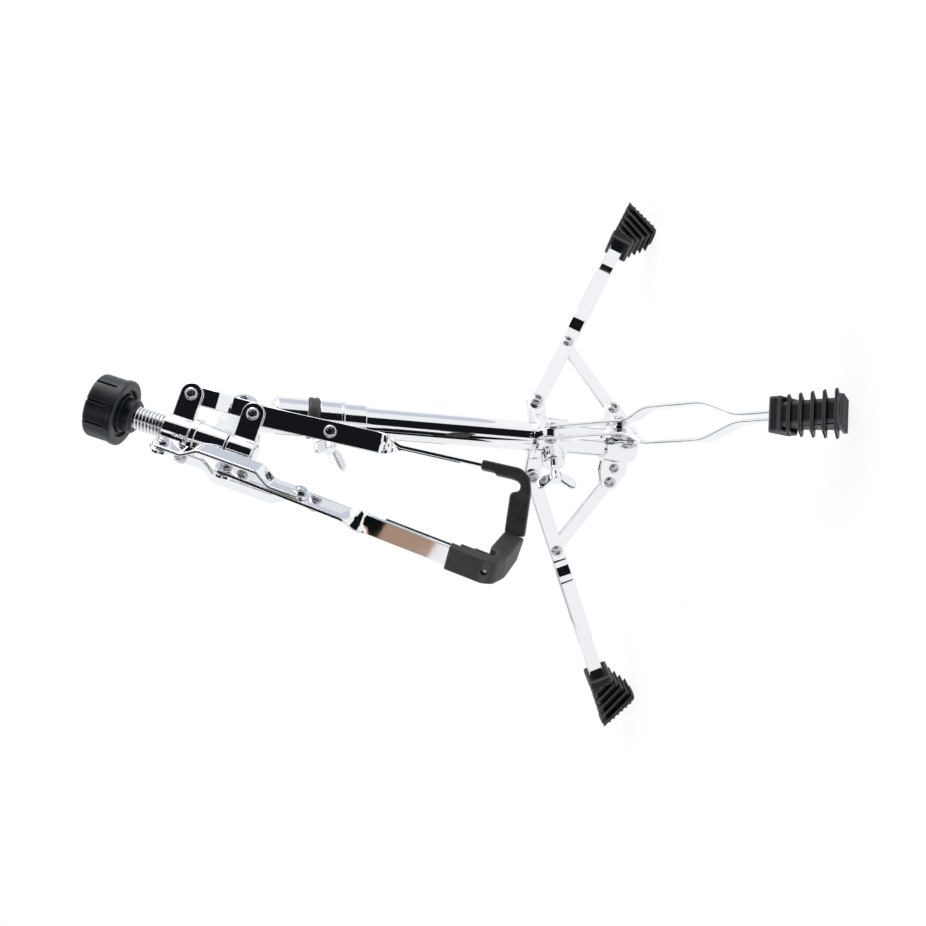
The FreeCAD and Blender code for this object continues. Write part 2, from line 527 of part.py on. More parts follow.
# Basket arms, links and grips
link_len_z = S.slider_d + S.crank * cos(S.open0)
link_angle = atan2(S.crank * sin(S.open0), link_len_z)
link_len = link_len_z / cos(link_angle)
link_low = -link_face - S.link_thick / 2
for k in range(3):
    arm_frame = frame(f"Arm{k + 1}", f"{asm[k]} * {moved(S.tab_r, 0, 0, 0, S.open0)}")
    link_frame = frame(f"Link{k + 1}", f"{asm[k]} * {moved(S.tab_r, 0, -S.slider_d, 0, link_angle)}")
    half = S.arm_w / 2
    flat = box(-half, -arm_side, 0, S.arm_w, S.arm_thick, S.twist_start)
    tip = cylinder(half, S.arm_thick, 0, -arm_side, 0, "y")
    sections = []
    for step in range(7):
        rung = doc.addObject("Part::Plane", "TwistRung")
        bound(rung, Length=S.arm_w, Width=S.arm_thick)
        height = S.twist_start + (S.twist_end - S.twist_start) * (step / 6)
        rung.setExpression("Placement", f"{moved(0, 0, height, 15 * step)} * {moved(-half, -arm_side, 0)}")
        sections.append(rung)
    twist = doc.addObject("Part::Loft", "Twist")
    twist.Sections = sections
    twist.Solid = True
    outer = box(-arm_side, -half, S.twist_end, S.arm_thick, S.arm_w, S.arm_len - S.twist_end)
    hook = box(-S.hook_len, -half, S.arm_len - S.arm_thick, S.hook_len + arm_side, S.arm_w, S.arm_thick)
    holes = [cylinder(hole_r, 20, 0, -10, 0, "y"), cylinder(S.pin_r + fit, 20, 0, -10, S.crank, "y")]
    node(f"arm_{k + 1}", cut(fuse([flat, tip, twist, outer, hook]), holes), arm_frame)
    inner = grip_end - S.pad_thick
    grip = prism("Grip", "XZ_Plane", [
        (S.grip_out, grip_start), (S.grip_out, grip_end - 7), (S.grip_out - 2.2, grip_end - 2.2),
        (S.grip_out - 7, grip_end), (-S.grip_tip + 1.5, grip_end), (-S.grip_tip, grip_end - 1.5),
        (-S.grip_tip, inner + 1.5), (-S.grip_tip + 1.5, inner), (-15, inner), (-13, inner + 1.2),
        (-10.5, inner + 3.6), (-7, inner + 3.4), (-S.grip_in - 0.8, inner + 1.6), (-S.grip_in, inner - 1),
        (-S.grip_in, grip_start)], S.grip_half * 2)
    room = [box(-arm_side - fit, -half - fit, grip_start - 5, S.arm_thick + 2 * fit, S.arm_w + 2 * fit,
                S.arm_len - grip_start + 5 + fit),
            box(-S.hook_len - fit, -half - fit, S.arm_len - S.arm_thick - fit,
                S.hook_len + arm_side + 2 * fit,
                S.arm_w + 2 * fit, S.arm_thick + 2 * fit)]
    node(f"grip_{k + 1}", cut(grip, room), arm_frame)
    nut = link_face + S.link_thick + 0.15
    pin = fuse([cylinder(S.pin_r, arm_side + nut + 1, 0, -nut - 0.5, S.crank, "y"),
                cylinder(S.head_r, 2.4, 0, arm_side, S.crank, "y"),
                cylinder(S.head_r, 3.6, 0, -nut - 3.6, S.crank, "y")])
    node(f"arm_{k + 1}_pin", pin, arm_frame)
    line = [(link_low, -14), (link_low, 16), (link_low - S.joggle, 27), (link_low - S.joggle, 69),
            (link_low, 78.5),
            (link_low, 118)]
    bar = common([prism("Bar", "YZ_Plane", band(line, S.link_thick), 40),
                  fuse([box(-S.link_w / 2, -30, 0, S.link_w, 60, link_len),
                        cylinder(S.link_w / 2, 60, 0, -30, 0, "y"),
                        cylinder(S.link_w / 2, 60, 0, -30, link_len, "y")])])
    node(f"link_{k + 1}", cut(bar, [cylinder(S.pin_r + fit, 40, 0, -20, 0, "y"),
                                    cylinder(hole_r, 40, 0, -20, link_len, "y")]), link_frame)
    node(f"link_{k + 1}_nut", fuse([
        cylinder(S.pin_r, S.link_thick + 0.5, 0, -link_face - S.link_thick - 0.5, 0, "y"),
        cylinder(S.head_r, 3.6, 0, -link_face - S.link_thick - 3.6, 0, "y")]), link_frame)

# Clamping knob on the rod with its collar ring
node("knob_collar", turned("KnobCollar", [
    (S.rod_r + 0.1, -S.knob_inner + 0.15), (S.boss_r, -S.knob_inner + 0.15), (S.boss_r, -S.boss_end - 2),
    (S.boss_r - 2, -S.boss_end), (S.rod_r + 0.1, -S.boss_end)]), basket)
node("knob", turned("Knob", [
    (S.rod_r + 0.1, -S.knob_outer), (S.knob_r - 2.5, -S.knob_outer), (S.knob_r - 0.6, -S.knob_outer + 2),
    (S.knob_r - 0.6, -S.knob_inner - 4), (S.knob_r, -S.knob_inner - 4), (S.knob_r, -S.knob_inner - 0.6),
    (S.knob_r - 0.8, -S.knob_inner), (S.knob_r - 4, -S.knob_inner), (S.knob_r - 4.6, -S.knob_inner - 3),
    (S.boss_r + 1.5, -S.knob_inner - 3), (S.boss_r + 1.2, -S.knob_inner),
    (S.rod_r + 0.1, -S.knob_inner)]), basket)

doc.recompute()
bad = [o.Label for o in doc.Objects if {"Invalid", "Error"} & set(o.State)]
if bad:
    raise RuntimeError(f"objects that did not build: {bad}")
os.makedirs("parts", exist_ok=True)
for piece in NODES:
    shape = piece.Shape
    if not shape.isValid() or not shape.Solids:
        raise RuntimeError(f"{piece.Label} is not a valid solid")
    shape.exportStep(f"parts/{piece.Label}.step")
    print(piece.Label, len(shape.Solids), round(shape.Volume, 1))
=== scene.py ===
"""Chrome snare drum stand on a folding tripod, its three-arm basket folded down beside the tube."""
import json
from types import SimpleNamespace

import bmesh
import bpy
import numpy as np
from bpy.props import FloatProperty, FloatVectorProperty, IntProperty, PointerProperty
from mathutils import Matrix


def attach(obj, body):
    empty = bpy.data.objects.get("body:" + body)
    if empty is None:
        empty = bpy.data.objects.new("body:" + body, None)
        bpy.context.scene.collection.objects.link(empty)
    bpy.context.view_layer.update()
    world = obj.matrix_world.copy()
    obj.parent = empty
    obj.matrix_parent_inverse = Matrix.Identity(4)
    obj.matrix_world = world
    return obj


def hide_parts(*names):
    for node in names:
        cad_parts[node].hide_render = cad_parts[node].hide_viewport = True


bl_info = {
    "name": "Snare drum stand",
    "version": (1, 0, 0),
    "blender": (4, 5, 0),
    "location": "3D View > Sidebar > Drum stand",
    "description": "Dresses the packed snare drum stand with its finished surfaces, studio and camera",
    "category": "Object",
}

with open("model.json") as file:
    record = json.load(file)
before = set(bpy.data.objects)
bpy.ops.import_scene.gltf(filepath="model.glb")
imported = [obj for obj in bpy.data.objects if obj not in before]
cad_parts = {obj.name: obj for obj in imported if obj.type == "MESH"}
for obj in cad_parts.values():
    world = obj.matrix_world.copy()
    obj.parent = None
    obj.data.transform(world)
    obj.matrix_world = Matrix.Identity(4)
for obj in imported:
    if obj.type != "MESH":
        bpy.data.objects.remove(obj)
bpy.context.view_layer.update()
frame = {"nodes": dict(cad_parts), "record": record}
RECORD = frame["record"]
BODY = {node: body for body, nodes in RECORD["behaviour"]["bodies"].items() for node in nodes}
SLOT = {part["node"]: part["material_slot"] for part in RECORD["subparts"]}
LEGS = (("front", -90.0), ("right", 30.0), ("left", 150.0))

# Sizes of the stand in millimetres: those of its solids, and those of the finer shapes added here
MM = SimpleNamespace(
    tube_r=11.1, tube_wall=1.5, tube_bottom=49.5, tube_top=284.0,
    post_r=9.5, post_wall=1.4, post_bottom=92.0, post_top=322.0,
    clamp_bottom=257.0, clamp_step=274.0, clamp_top=291.0, clamp_low_r=12.8, clamp_high_r=13.6,
    ring_height=7.6, ring_r=15.0,
    pivot_r=31.6, hub_z=124.6, leg_slope=26.5, stay_len=69.2,
    strip_w=11.4, strip_thick=2.0, strip_gap=6.9, bulge_half=12.0, tail_half=2.3,
    bulge_start=79.5, bulge_full=94.5, bulge_back=145.5, bulge_end=172.0, strip_end=228.0,
    stay_thick=2.5, stay_w=11.0, pin_r=2.5, head_r=4.4, head_thick=2.4,
    hub_r=15.6, hub_low=20.0, flange_r=17.2, flange_high=6.0, lug_round=6.6,
    collar_r=14.2, collar_half=12.0, plate_thick=2.0, plate_round=7.2, clamp_bolt_r=19.5,
    foot_start=200.5, foot_end=250.5, foot_top=9.0, foot_toe=8.2, foot_deep=33.7, foot_rake=18.3,
    foot_low=11.0, core_half=7.6, mouth_long=8.0, mouth_half=11.0,
    fin_half=11.2, fin_grow=0.3, fin_first=213.7, fin_step=8.15, fin_thick=2.6, fin_lean=0.64, groove=1.9,
    cap_half=10.1, cap_thick=3.5, cap_round=6.0, tread_r=0.9, tread_count=8,
    swing=45.8, tilt_z=345.1, disc_r=10.3, disc_thick=9.0, bolt_r=3.0, tilt=21.8, reach=54.5,
    depth=11.3, sleeve_s=21.9, roll=48.9, rod_r=8.0, rod_start=111.4, rod_tip=10.0, sleeve_r=10.6,
    tab_r=26.8, tab_w=15.5, tab_thick=3.0, slider_d=45.5, crank=53.5, open0=5.4,
    arm_w=14.0, arm_thick=2.5, twist_start=84.0, twist_end=104.0, arm_len=190.5, hook_len=37.5,
    link_w=12.6, link_thick=2.5, joggle=7.0,
    grip_start=158.0, grip_end=196.0, grip_half=8.75, grip_out=3.6, grip_in=4.2, pad_thick=13.5,
    grip_tip=40.2, grip_cut=12.0, grip_lean=2.4, screw_z=183.5, screw_hole=2.3,
    knob_r=22.8, knob_outer=106.0, knob_inner=84.5, boss_r=11.8, boss_end=76.0,
    wing_thick=2.8, wing_shank_r=3.0, wing_collar_r=4.8, wing_waist_r=4.4, wing_collar=7.0,
    height_screw_z=282.5, height_boss_r=6.2, height_boss=(10.5, 22.5),
    hub_screw_z=115.6, hub_boss_r=8.6, hub_boss=(11.5, 24.5), neck_half=10.0,
    link_bends=(16.0, 27.0, 69.0, 78.5),
    # Gaps: between turning faces, round what slides, in a press fit, and how deep a shank sinks in a head
    face_gap=0.2, play=0.15, slip=0.1, hub_slip=0.12, press=0.02, sunk=0.3,
)
COLLAR_Z = MM.hub_z - 2 * MM.stay_len * np.sin(np.radians(MM.leg_slope))
RING_Z = MM.clamp_top + MM.play
LINK_RISE = MM.slider_d + MM.crank * np.cos(np.radians(MM.open0))
LINK_LEAN = np.degrees(np.arctan2(MM.crank * np.sin(np.radians(MM.open0)), LINK_RISE))
LINK_LEN = LINK_RISE / np.cos(np.radians(LINK_LEAN))
# How far each rib of a foot stops short of the heel's depth, in millimetres
FIN_RISE = (6.5, 5.0, 4.0, 3.0, 2.0)
# The lowest that a foot's points may lie: no limit in X and Y, and the floor in Z
LOWEST = np.array((-np.inf, -np.inf, 0.0))
# Wing screws: tip and collar along the axis, span and reach of the ears, in millimetres
HEIGHT_WING = (MM.post_r + 0.35, 23.2, 15.0, 17.0)
HUB_WING = (MM.tube_r + 0.3, 33.0, 14.0, 14.0)
TILT_WING = (0.2, 0.0, 15.0, 13.0)
# Turns in degrees: a wing screw's azimuth, and its ears about its own axis
HEIGHT_TURN, HEIGHT_EARS = 216, -40
HUB_TURN, HUB_EARS = 212, 8
TILT_EARS = 25
# Points of a mesh nearer than this many metres are one, and folds past these angles stay sharp
WELD = 2e-6
FOLD = np.radians(38)
CUT_FOLD = np.radians(24)
# Finishes, each named for what it is and how its surface was made
STEEL = "chrome_on_polished_steel"
CASTING = "chrome_on_zinc_casting"
SCREWS = "nickel_on_turned_screws"
THREAD = "bright_zinc_on_rolled_thread"
RUBBER = "moulded_black_rubber"
RIBBED = "moulded_ribbed_rubber"
NYLON = "moulded_black_nylon"
# Pointiness, which is 0.5 on a flat face: from a thread's root to its crest, and from wall to a paler edge,
# which stands for wear and is a painted highlight
HOLLOW = (0.44, 0.52)
EDGE = (0.508, 0.53)
# Studio in metres: the floor's half width, near and far edge and level, and the stand's middle
FLOOR_HALF, FLOOR_NEAR, FLOOR_FAR, FLOOR_Z = 0.7, -0.4, 1.0, -2e-4
MIDDLE = np.array((0, 0, 0.22))
# Camera: focal length and picture width in pixels, and sensor width in millimetres
FOCAL, PICTURE, SENSOR = 1213.2, 926, 36.0


def linear(code):
    """Linear colour of an sRGB hex value."""
    srgb = np.array([int(code[i:i + 2], 16) for i in (1, 3, 5)]) / 255
    return tuple(np.where(srgb <= 0.04045, srgb / 12.92, ((srgb + 0.055) / 1.055) ** 2.4))


def placed(x=0.0, y=0.0, z=0.0, yaw=0.0, pitch=0.0, roll=0.0):
    """Frame that turns about X by roll, then Y by pitch, then Z by yaw, and then shifts."""
    a, b, c = np.radians((yaw, pitch, roll))
    rz = np.array(((np.cos(a), -np.sin(a), 0), (np.sin(a), np.cos(a), 0), (0, 0, 1)))
    ry = np.array(((np.cos(b), 0, np.sin(b)), (0, 1, 0), (-np.sin(b), 0, np.cos(b))))
    rx = np.array(((1, 0, 0), (0, np.cos(c), -np.sin(c)), (0, np.sin(c), np.cos(c))))
    whole = np.eye(4)
    whole[:3, :3] = rz @ ry @ rx
    whole[:3, 3] = (x, y, z)
    return whole


ALONG_X = placed(pitch=90.0)
ALONG_Y = placed(roll=-90.0)
AGAINST_Y = placed(roll=90.0)
POST = placed(yaw=MM.swing)
BASKET = (POST @ placed(0, 0, MM.tilt_z, 0, MM.tilt, 180)
          @ placed(-MM.reach, MM.depth, MM.sleeve_s))
SETS = [BASKET @ placed(yaw=MM.roll + 120 * k) for k in range(3)]
ARMS = [s @ placed(MM.tab_r, 0, 0, 0, MM.open0) for s in SETS]
LINKS = [s @ placed(MM.tab_r, 0, -MM.slider_d, 0, LINK_LEAN) for s in SETS]


def leg_frame(azimuth, height, slope):
    """Frame of a leg or stay: X along the bar, Y across the pivot pin's length, Z up."""
    a = np.radians(azimuth)
    return placed(MM.pivot_r * np.cos(a), MM.pivot_r * np.sin(a), height, azimuth, slope)


def unit(vectors):
    """Vectors of length one."""
    return vectors / np.maximum(np.linalg.norm(vectors, axis=-1, keepdims=True), 1e-12)


def eased(corners, ease, closed=True, steps=5):
    """Line with rounded corners: each corner gives way to the parabola that touches both of its sides
    at the distance ease, with one more point on each side, so that flats stay flat."""
    p = np.asarray(corners, float)
    before = np.roll(p, 1, 0) - p
    after = np.roll(p, -1, 0) - p
    room = np.minimum(np.linalg.norm(before, axis=1), np.linalg.norm(after, axis=1))
    reach = np.minimum(np.broadcast_to(ease, len(p)), 0.38 * room)[:, None]
    a = p + unit(before) * reach
    b = p + unit(after) * reach
    t = np.linspace(0, 1, steps)[None, :, None]
    curve = (1 - t) ** 2 * a[:, None] + 2 * t * (1 - t) * p[:, None] + t ** 2 * b[:, None]
    lead = (p + unit(before) * reach * 1.25)[:, None]
    tail = (p + unit(after) * reach * 1.25)[:, None]
    line = np.concatenate((lead, curve, tail), 1)
    if closed:
        return line.reshape(-1, p.shape[1])
    return np.concatenate((p[:1], line[1:-1].reshape(-1, p.shape[1]), p[-1:]))


def arc(x, z, radius, start, end, count=25):
    """Points of a circle's arc in degrees."""
    a = np.radians(np.linspace(start, end, count))
    return np.stack((x + radius * np.cos(a), z + radius * np.sin(a)), 1)


def skin(grid, loop=False, caps=True):
    """Quads between neighbours of a grid of points whose columns close on themselves; its rows close
    too if loop is set, and otherwise flat caps may close its two ends."""
    index = np.arange(grid[..., 0].size).reshape(grid.shape[:2])
    low = index if loop else index[:-1]
    high = np.roll(index, -1, 0) if loop else index[1:]
    quads = np.stack((low, np.roll(low, -1, 1), np.roll(high, -1, 1), high), -1).reshape(-1, 4).tolist()
    if caps and not loop:
        quads += [index[0, ::-1].tolist(), index[-1].tolist()]
    return grid.reshape(-1, 3), quads


def moved(shell, at):
    """The shell carried into a frame."""
    points, faces = shell
    if at is None:
        return shell
    return points @ at[:3, :3].T + at[:3, 3], faces


def circle(columns):
    """Even angles round a full turn."""
    return np.linspace(0, 2 * np.pi, columns, endpoint=False)


def turned(radius, angle, height, at, loop=False, caps=False):
    """A shell about Z whose points have the given radius, angle and height."""
    r, a, z = np.broadcast_arrays(radius, angle, height)
    return moved(skin(np.stack((r * np.cos(a), r * np.sin(a), z), -1), loop, caps), at)


def lathe(profile, at=None, columns=96, ease=0.4, loop=True):
    """A profile of radius and height, its corners eased, turned about Z."""
    line = eased(profile, ease, closed=loop)
    return turned(line[:, :1], circle(columns), line[:, 1:], at, loop)


def pipe(inner, outer, low, high, at=None, columns=128, ease=0.4):
    """A ring of a rectangular section, turned about Z."""
    return lathe([(inner, low), (outer, low), (outer, high), (inner, high)], at, columns, ease)


def drum(radius, z0, z1, at=None, ease=0.5, columns=72):
    """A closed round bar from z0 to z1 with eased rims, turned from its half section."""
    return lathe([(0, z0), (radius, z0), (radius, z1), (0, z1)], at, columns, ease, False)


def tongue(root, x, radius, count=25):
    """Outline of a tab that starts straight at a root and ends in a half circle about (x, 0)."""
    return np.concatenate(([(root, -radius)], arc(x, 0, radius, -90, 90, count), [(root, radius)]))


def plate(outline, thick, edge, at=None, middle=0.0):
    """An outline in X and Z carried through its thickness along Y; near each face it draws in along its
    own normals by a quarter circle of the radius edge, which rounds the rim, and at a convex corner by no
    more than the circle through three neighbours allows. One more row on each side of the rim keeps the
    faces and the wall flat."""
    o = np.asarray(outline, float)
    x, z = o.T
    if np.sum(x * np.roll(z, -1) - np.roll(x, -1) * z) < 0:
        o = o[::-1]
    ahead = np.roll(o, -1, 0) - o
    behind = o - np.roll(o, 1, 0)
    tangent = unit(ahead + behind)
    normal = np.stack((tangent[:, 1], -tangent[:, 0]), 1)
    turn = behind[:, 0] * ahead[:, 1] - behind[:, 1] * ahead[:, 0]
    sides = np.linalg.norm(np.stack((ahead, behind, ahead + behind)), axis=2)
    round_r = np.prod(sides, axis=0) / np.maximum(2 * turn, 1e-9)
    deepest = 1.35 * edge
    normal *= np.minimum(1, 0.8 * round_r / deepest)[:, None]
    a = np.linspace(0, np.pi / 2, 5)
    wall = max(thick / 2 - 1.5 * edge, (thick / 2 - edge) / 2)
    inset = np.concatenate(([deepest], edge * (1 - np.sin(a)), [0]))
    rise = np.concatenate(([thick / 2], thick / 2 - edge * (1 - np.cos(a)), [wall]))
    inset = np.concatenate((inset, inset[::-1]))
    rise = np.concatenate((rise, -rise[::-1])) + middle
    flat = o[None] - inset[:, None, None] * normal[None]
    grid = np.stack((flat[..., 0], np.broadcast_to(rise[:, None], flat.shape[:2]), flat[..., 1]), -1)
    return moved(skin(grid), at)


def sweep(spine, across, half, half_w, thick, edge, at=None):
    """A rounded rectangle carried along a spine: its width follows the direction across, scaled by
    half at each station, and its thickness the direction square to the spine and to across."""
    tangent = unit(np.gradient(spine, axis=0))
    across = unit(across - tangent * np.sum(across * tangent, 1, keepdims=True))
    through = np.cross(tangent, across)
    box = [(-half_w, -thick / 2), (half_w, -thick / 2), (half_w, thick / 2), (-half_w, thick / 2)]
    section = eased(box, edge, steps=4)
    w = section[:, 0][None, :, None] * (half / half_w)[:, None, None]
    t = section[:, 1][None, :, None]
    return moved(skin(spine[:, None] + w * across[:, None] + t * through[:, None]), at)


def bar(corners, across, width, thick, bend, at, round_end=True):
    """A flat bar bent along a line of corners: a sweep whose width fades as a half circle towards its
    round ends, so that half its width is the circle's height over the chord."""
    line = eased(corners, bend, closed=False, steps=9)
    length = np.concatenate(([0], np.cumsum(np.linalg.norm(np.diff(line, axis=0), axis=1))))
    r = width / 2
    total = length[-1]
    tip = r * (1 - np.cos(np.radians(np.linspace(4, 90, 14))))
    inner = length[(length > r * 1.05) & (length < total - (r * 1.05 if round_end else 0.01))]
    last = total - tip[::-1] if round_end else np.array([total])
    station = np.concatenate((tip, inner, last))
    spine = np.stack([np.interp(station, length, column) for column in line.T], 1)
    chord = np.clip(np.minimum(station, total - station if round_end else r), 0, r)
    half = np.sqrt(r ** 2 - (r - chord) ** 2)
    aim = np.broadcast_to(np.asarray(across, float), spine.shape)
    return sweep(spine, aim, half, r, thick, 0.8, at)


def rows(levels, like):
    """Rows as long as like, each from a number or an array."""
    return np.stack([np.broadcast_to(level, like.shape) for level in levels])


def button_head(at, radius=MM.head_r, height=MM.head_thick, socket=2.0, depth=1.5, columns=72):
    """A domed screw head on Z = 0 with a hexagon socket: outside the socket the height follows an
    ellipse over the radius; the wall stands on the hexagon's polar radius s / cos(angle folded to 30)."""
    a = circle(columns)
    hexagon = socket / np.cos((a + np.pi / 6) % (np.pi / 3) - np.pi / 6)
    share = np.linspace(0, 1, 9)[:, None]
    dome_r = radius * (1 - share) + hexagon * 1.1 * share
    dome_z = height * (0.35 + 0.65 * np.sqrt(np.clip(1 - (dome_r / radius) ** 2, 0, 1)))
    rim = dome_z[-1]
    floor = rim - depth
    wall = [hexagon * share for share in (1.02, 1, 0.98, 0.9)]
    r = rows((0, radius * 0.96, radius, *dome_r, *wall, 0), a)
    z = rows((0, 0, 0.1 * height, *dome_z, rim - 0.06, rim - 0.2, floor, floor, floor * 0.96), a)
    return turned(r, a, z, at)


def hexagon_nut(at, radius=MM.head_r, height=3.6):
    """A nut on Z = 0: the hexagon's polar radius at its sides, cut by a cone at its outer rim, under a
    domed end."""
    a = circle(72)
    side = radius * np.cos(np.pi / 6) / np.cos(a % (np.pi / 3) - np.pi / 6)
    share = np.linspace(0, np.pi / 2, 6)
    dome_r = radius * 0.62 * np.cos(share)
    dome_z = height * (0.72 + 0.28 * np.sin(share))
    cone = np.minimum(side, radius * 0.9)
    top = height * 0.6
    r = rows((0, side * 0.96, side, side, cone, cone * 0.95, *dome_r), a)
    z = rows((0, 0, 0.2, top, top + 0.35, top + 0.4, *dome_z), a)
    return turned(r, a, z, at)


def bolt(at, x, z, head_y, nut_y, radius=MM.pin_r, head_r=MM.head_r, head=MM.head_thick, nut=None):
    """A bolt along Y through (x, z): plain shank, domed head with a socket on its +Y end and a nut or a
    second domed head on its -Y end."""
    shells = [drum(radius, nut_y - MM.sunk, head_y + MM.sunk, at @ placed(x, 0, z) @ ALONG_Y, 0.1, 32),
              button_head(at @ placed(x, head_y, z) @ ALONG_Y, head_r, head, head_r * 0.45)]
    under = at @ placed(x, nut_y, z) @ AGAINST_Y
    if nut:
        shells.append(hexagon_nut(under, head_r, nut))
    else:
        shells.append(button_head(under, head_r, head, head_r * 0.45))
    return shells


def helix_rod(radius, z0, z1, pitch, depth, at):
    """A screwed rod: the radius less the depth times a wave of the height over the pitch minus the
    angle over a full turn, which climbs one pitch each turn, and runs out to a chamfer at both ends."""
    rows_per_turn, chamfer = 12, 1.6
    z = np.linspace(z0, z1, int((z1 - z0) / pitch * rows_per_turn))[:, None]
    a = circle(64)
    phase = (z / pitch - a / (2 * np.pi)) % 1.0
    wave = np.clip(np.abs(2 * phase - 1) * 1.5 - 0.25, 0, 1)
    end = np.clip(np.minimum(z - z0, z1 - z) / chamfer, 0, 1)
    r = np.minimum(radius - depth * wave, radius - chamfer * (1 - end))
    return turned(r, a, z, at, caps=True)


def wing_screw(tip, collar, span, out, at):
    """A wing screw along X: shank, waisted collar turned about X, and two ears whose outlines have
    eased corners and fully rounded rims."""
    along = at @ ALONG_X
    wide, end = MM.wing_collar_r, collar + MM.wing_collar
    shells = [drum(MM.wing_shank_r, tip, end - 1, along, 0.6, 48),
              lathe([(0, collar), (wide, collar), (MM.wing_waist_r, collar + 3), (wide, end), (0, end)],
                    along, 64, 0.9, False)]
    for side in (1, -1):
        ear = np.array([(collar + 1, wide / 2), (end, wide / 2), (collar + out, span - 4),
                        (collar + out, span), (collar + out - 7, span + 1), (collar + 2, 9)])
        ear[:, 1] *= side
        shells.append(plate(eased(ear, 3.0), MM.wing_thick, 1.15, at))
    return shells


def clipped(outline, normal, offset):
    """The part of a convex outline on the side where normal . point is at least offset: corners on that
    side stay, and each edge that crosses the line adds its crossing point."""
    o = np.asarray(outline, float)
    d = o @ np.asarray(normal, float) - offset
    nxt = np.roll(o, -1, 0)
    dn = np.roll(d, -1)
    share = d / np.where(np.abs(d - dn) < 1e-9, 1, d - dn)
    cross = o + share[:, None] * (nxt - o)
    both = np.stack((o, cross), 1).reshape(-1, 2)
    keep = np.stack((d >= 0, (d >= 0) != (dn >= 0)), 1).reshape(-1)
    return both[keep]


def welded(name, shells):
    """One mesh in metres of closed shells in millimetres, its doubles merged and its faces outwards."""
    counts = np.cumsum([0] + [len(points) for points, _ in shells])
    points = np.concatenate([p for p, _ in shells]) / 1000
    faces = [[i + start for i in face] for (_, fs), start in zip(shells, counts) for face in fs]
    mesh = bpy.data.meshes.new(name)
    mesh.from_pydata(points, [], faces)
    work = bmesh.new()
    work.from_mesh(mesh)
    bmesh.ops.remove_doubles(work, verts=work.verts, dist=WELD)
    bmesh.ops.recalc_face_normals(work, faces=work.faces)
    work.to_mesh(mesh)
    work.free()
    return mesh


def linked(name, data):
    """A new object of the scene."""
    made = bpy.data.objects.new(name, data)
    bpy.context.scene.collection.objects.link(made)
    return made


def form(node, finish, shells, body=None):
    """One mesh of closed shells in place of a node, riding on the node's body and taking the given finish;
    with a body given it is a new piece that stands for no node."""
    mesh = welded(f"{node}_form", shells)
    mesh.shade_smooth()
    mesh.set_sharp_from_angle(angle=FOLD)
    mesh.materials.append(bpy.data.materials[finish])
    piece = linked(f"{node}_form", mesh)
    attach(piece, body or BODY[node])
    if not body:
        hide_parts(node)
    return piece


def drilled(piece, shell):
    """Takes a closed shell out of a piece by an exact boolean, whose result becomes the piece's mesh."""
    cutter = linked("drill", welded("drill", [shell]))
    cut = piece.modifiers.new("hole", "BOOLEAN")
    cut.object = cutter
    cut.operation = "DIFFERENCE"
    cut.solver = "EXACT"
    view = bpy.context.evaluated_depsgraph_get()
    result = bpy.data.meshes.new_from_object(piece.evaluated_get(view))
    piece.modifiers.clear()
    piece.data = result
    result.shade_smooth()
    result.set_sharp_from_angle(angle=CUT_FOLD)
    bpy.data.objects.remove(cutter)
    level = piece.modifiers.new("flat_faces", "WEIGHTED_NORMAL")
    level.keep_sharp = True


def wire(tree, node, **inputs):
    """Sets or links a node's inputs, by name or by an underscore and their number."""
    for key, value in inputs.items():
        socket = node.inputs[int(key[1:])] if key[0] == "_" else node.inputs[key.replace("_", " ")]
        if isinstance(value, bpy.types.NodeSocket):
            tree.links.new(value, socket)
        else:
            socket.default_value = value


def add(tree, kind, settings=None, **inputs):
    """Adds a node, sets its properties, and sets or links its inputs."""
    made = tree.nodes.new(kind)
    for key, value in (settings or {}).items():
        setattr(made, key, value)
    wire(tree, made, **inputs)
    return made


class StandSizes(bpy.types.PropertyGroup):
    """Sizes of the fine detail that the solids leave plain."""
    thread_pitch: FloatProperty(name="Thread pitch", description="Pitch of the basket rod's thread",
                                default=0.0025, min=0.001, unit="LENGTH")
    thread_depth: FloatProperty(name="Thread depth", description="Depth of the basket rod's thread",
                                default=0.0011, min=0.0, unit="LENGTH")
    slot_count: IntProperty(name="Knob slots", description="Grip slots around the knob", default=9, min=3)
    slot_turn: FloatProperty(name="Slot turn", description="Turn of the first slot about the rod",
                             default=np.radians(15), subtype="ANGLE")
    slot_depth: FloatProperty(name="Slot depth", description="Depth of a grip slot in the knob",
                              default=0.0012, min=0.0, unit="LENGTH")
    slot_width: FloatProperty(name="Slot width", description="Width of a grip slot in the knob",
                              default=0.0016, min=0.0005, unit="LENGTH")


class StandFinishes(bpy.types.PropertyGroup):
    """Colours of the stand's materials."""
    chrome: FloatVectorProperty(name="Chrome", description="Colour of the polished plating", size=3,
                                subtype="COLOR", default=linear("#EDEFF2"), min=0, max=1)
    screw: FloatVectorProperty(name="Screws", description="Colour of the plated screws and nuts", size=3,
                               subtype="COLOR", default=linear("#C6C8CC"), min=0, max=1)
    rubber: FloatVectorProperty(name="Rubber", description="Colour of the grips and the ring", size=3,
                                subtype="COLOR", default=linear("#18181B"), min=0, max=1)
    bloom: FloatVectorProperty(name="Rubber bloom", description="Greyer colour of the rubber's bloom",
                               size=3, subtype="COLOR", default=linear("#2F2F33"), min=0, max=1)
    plastic: FloatVectorProperty(name="Plastic", description="Colour of the knob and its collar", size=3,
                                 subtype="COLOR", default=linear("#151A22"), min=0, max=1)


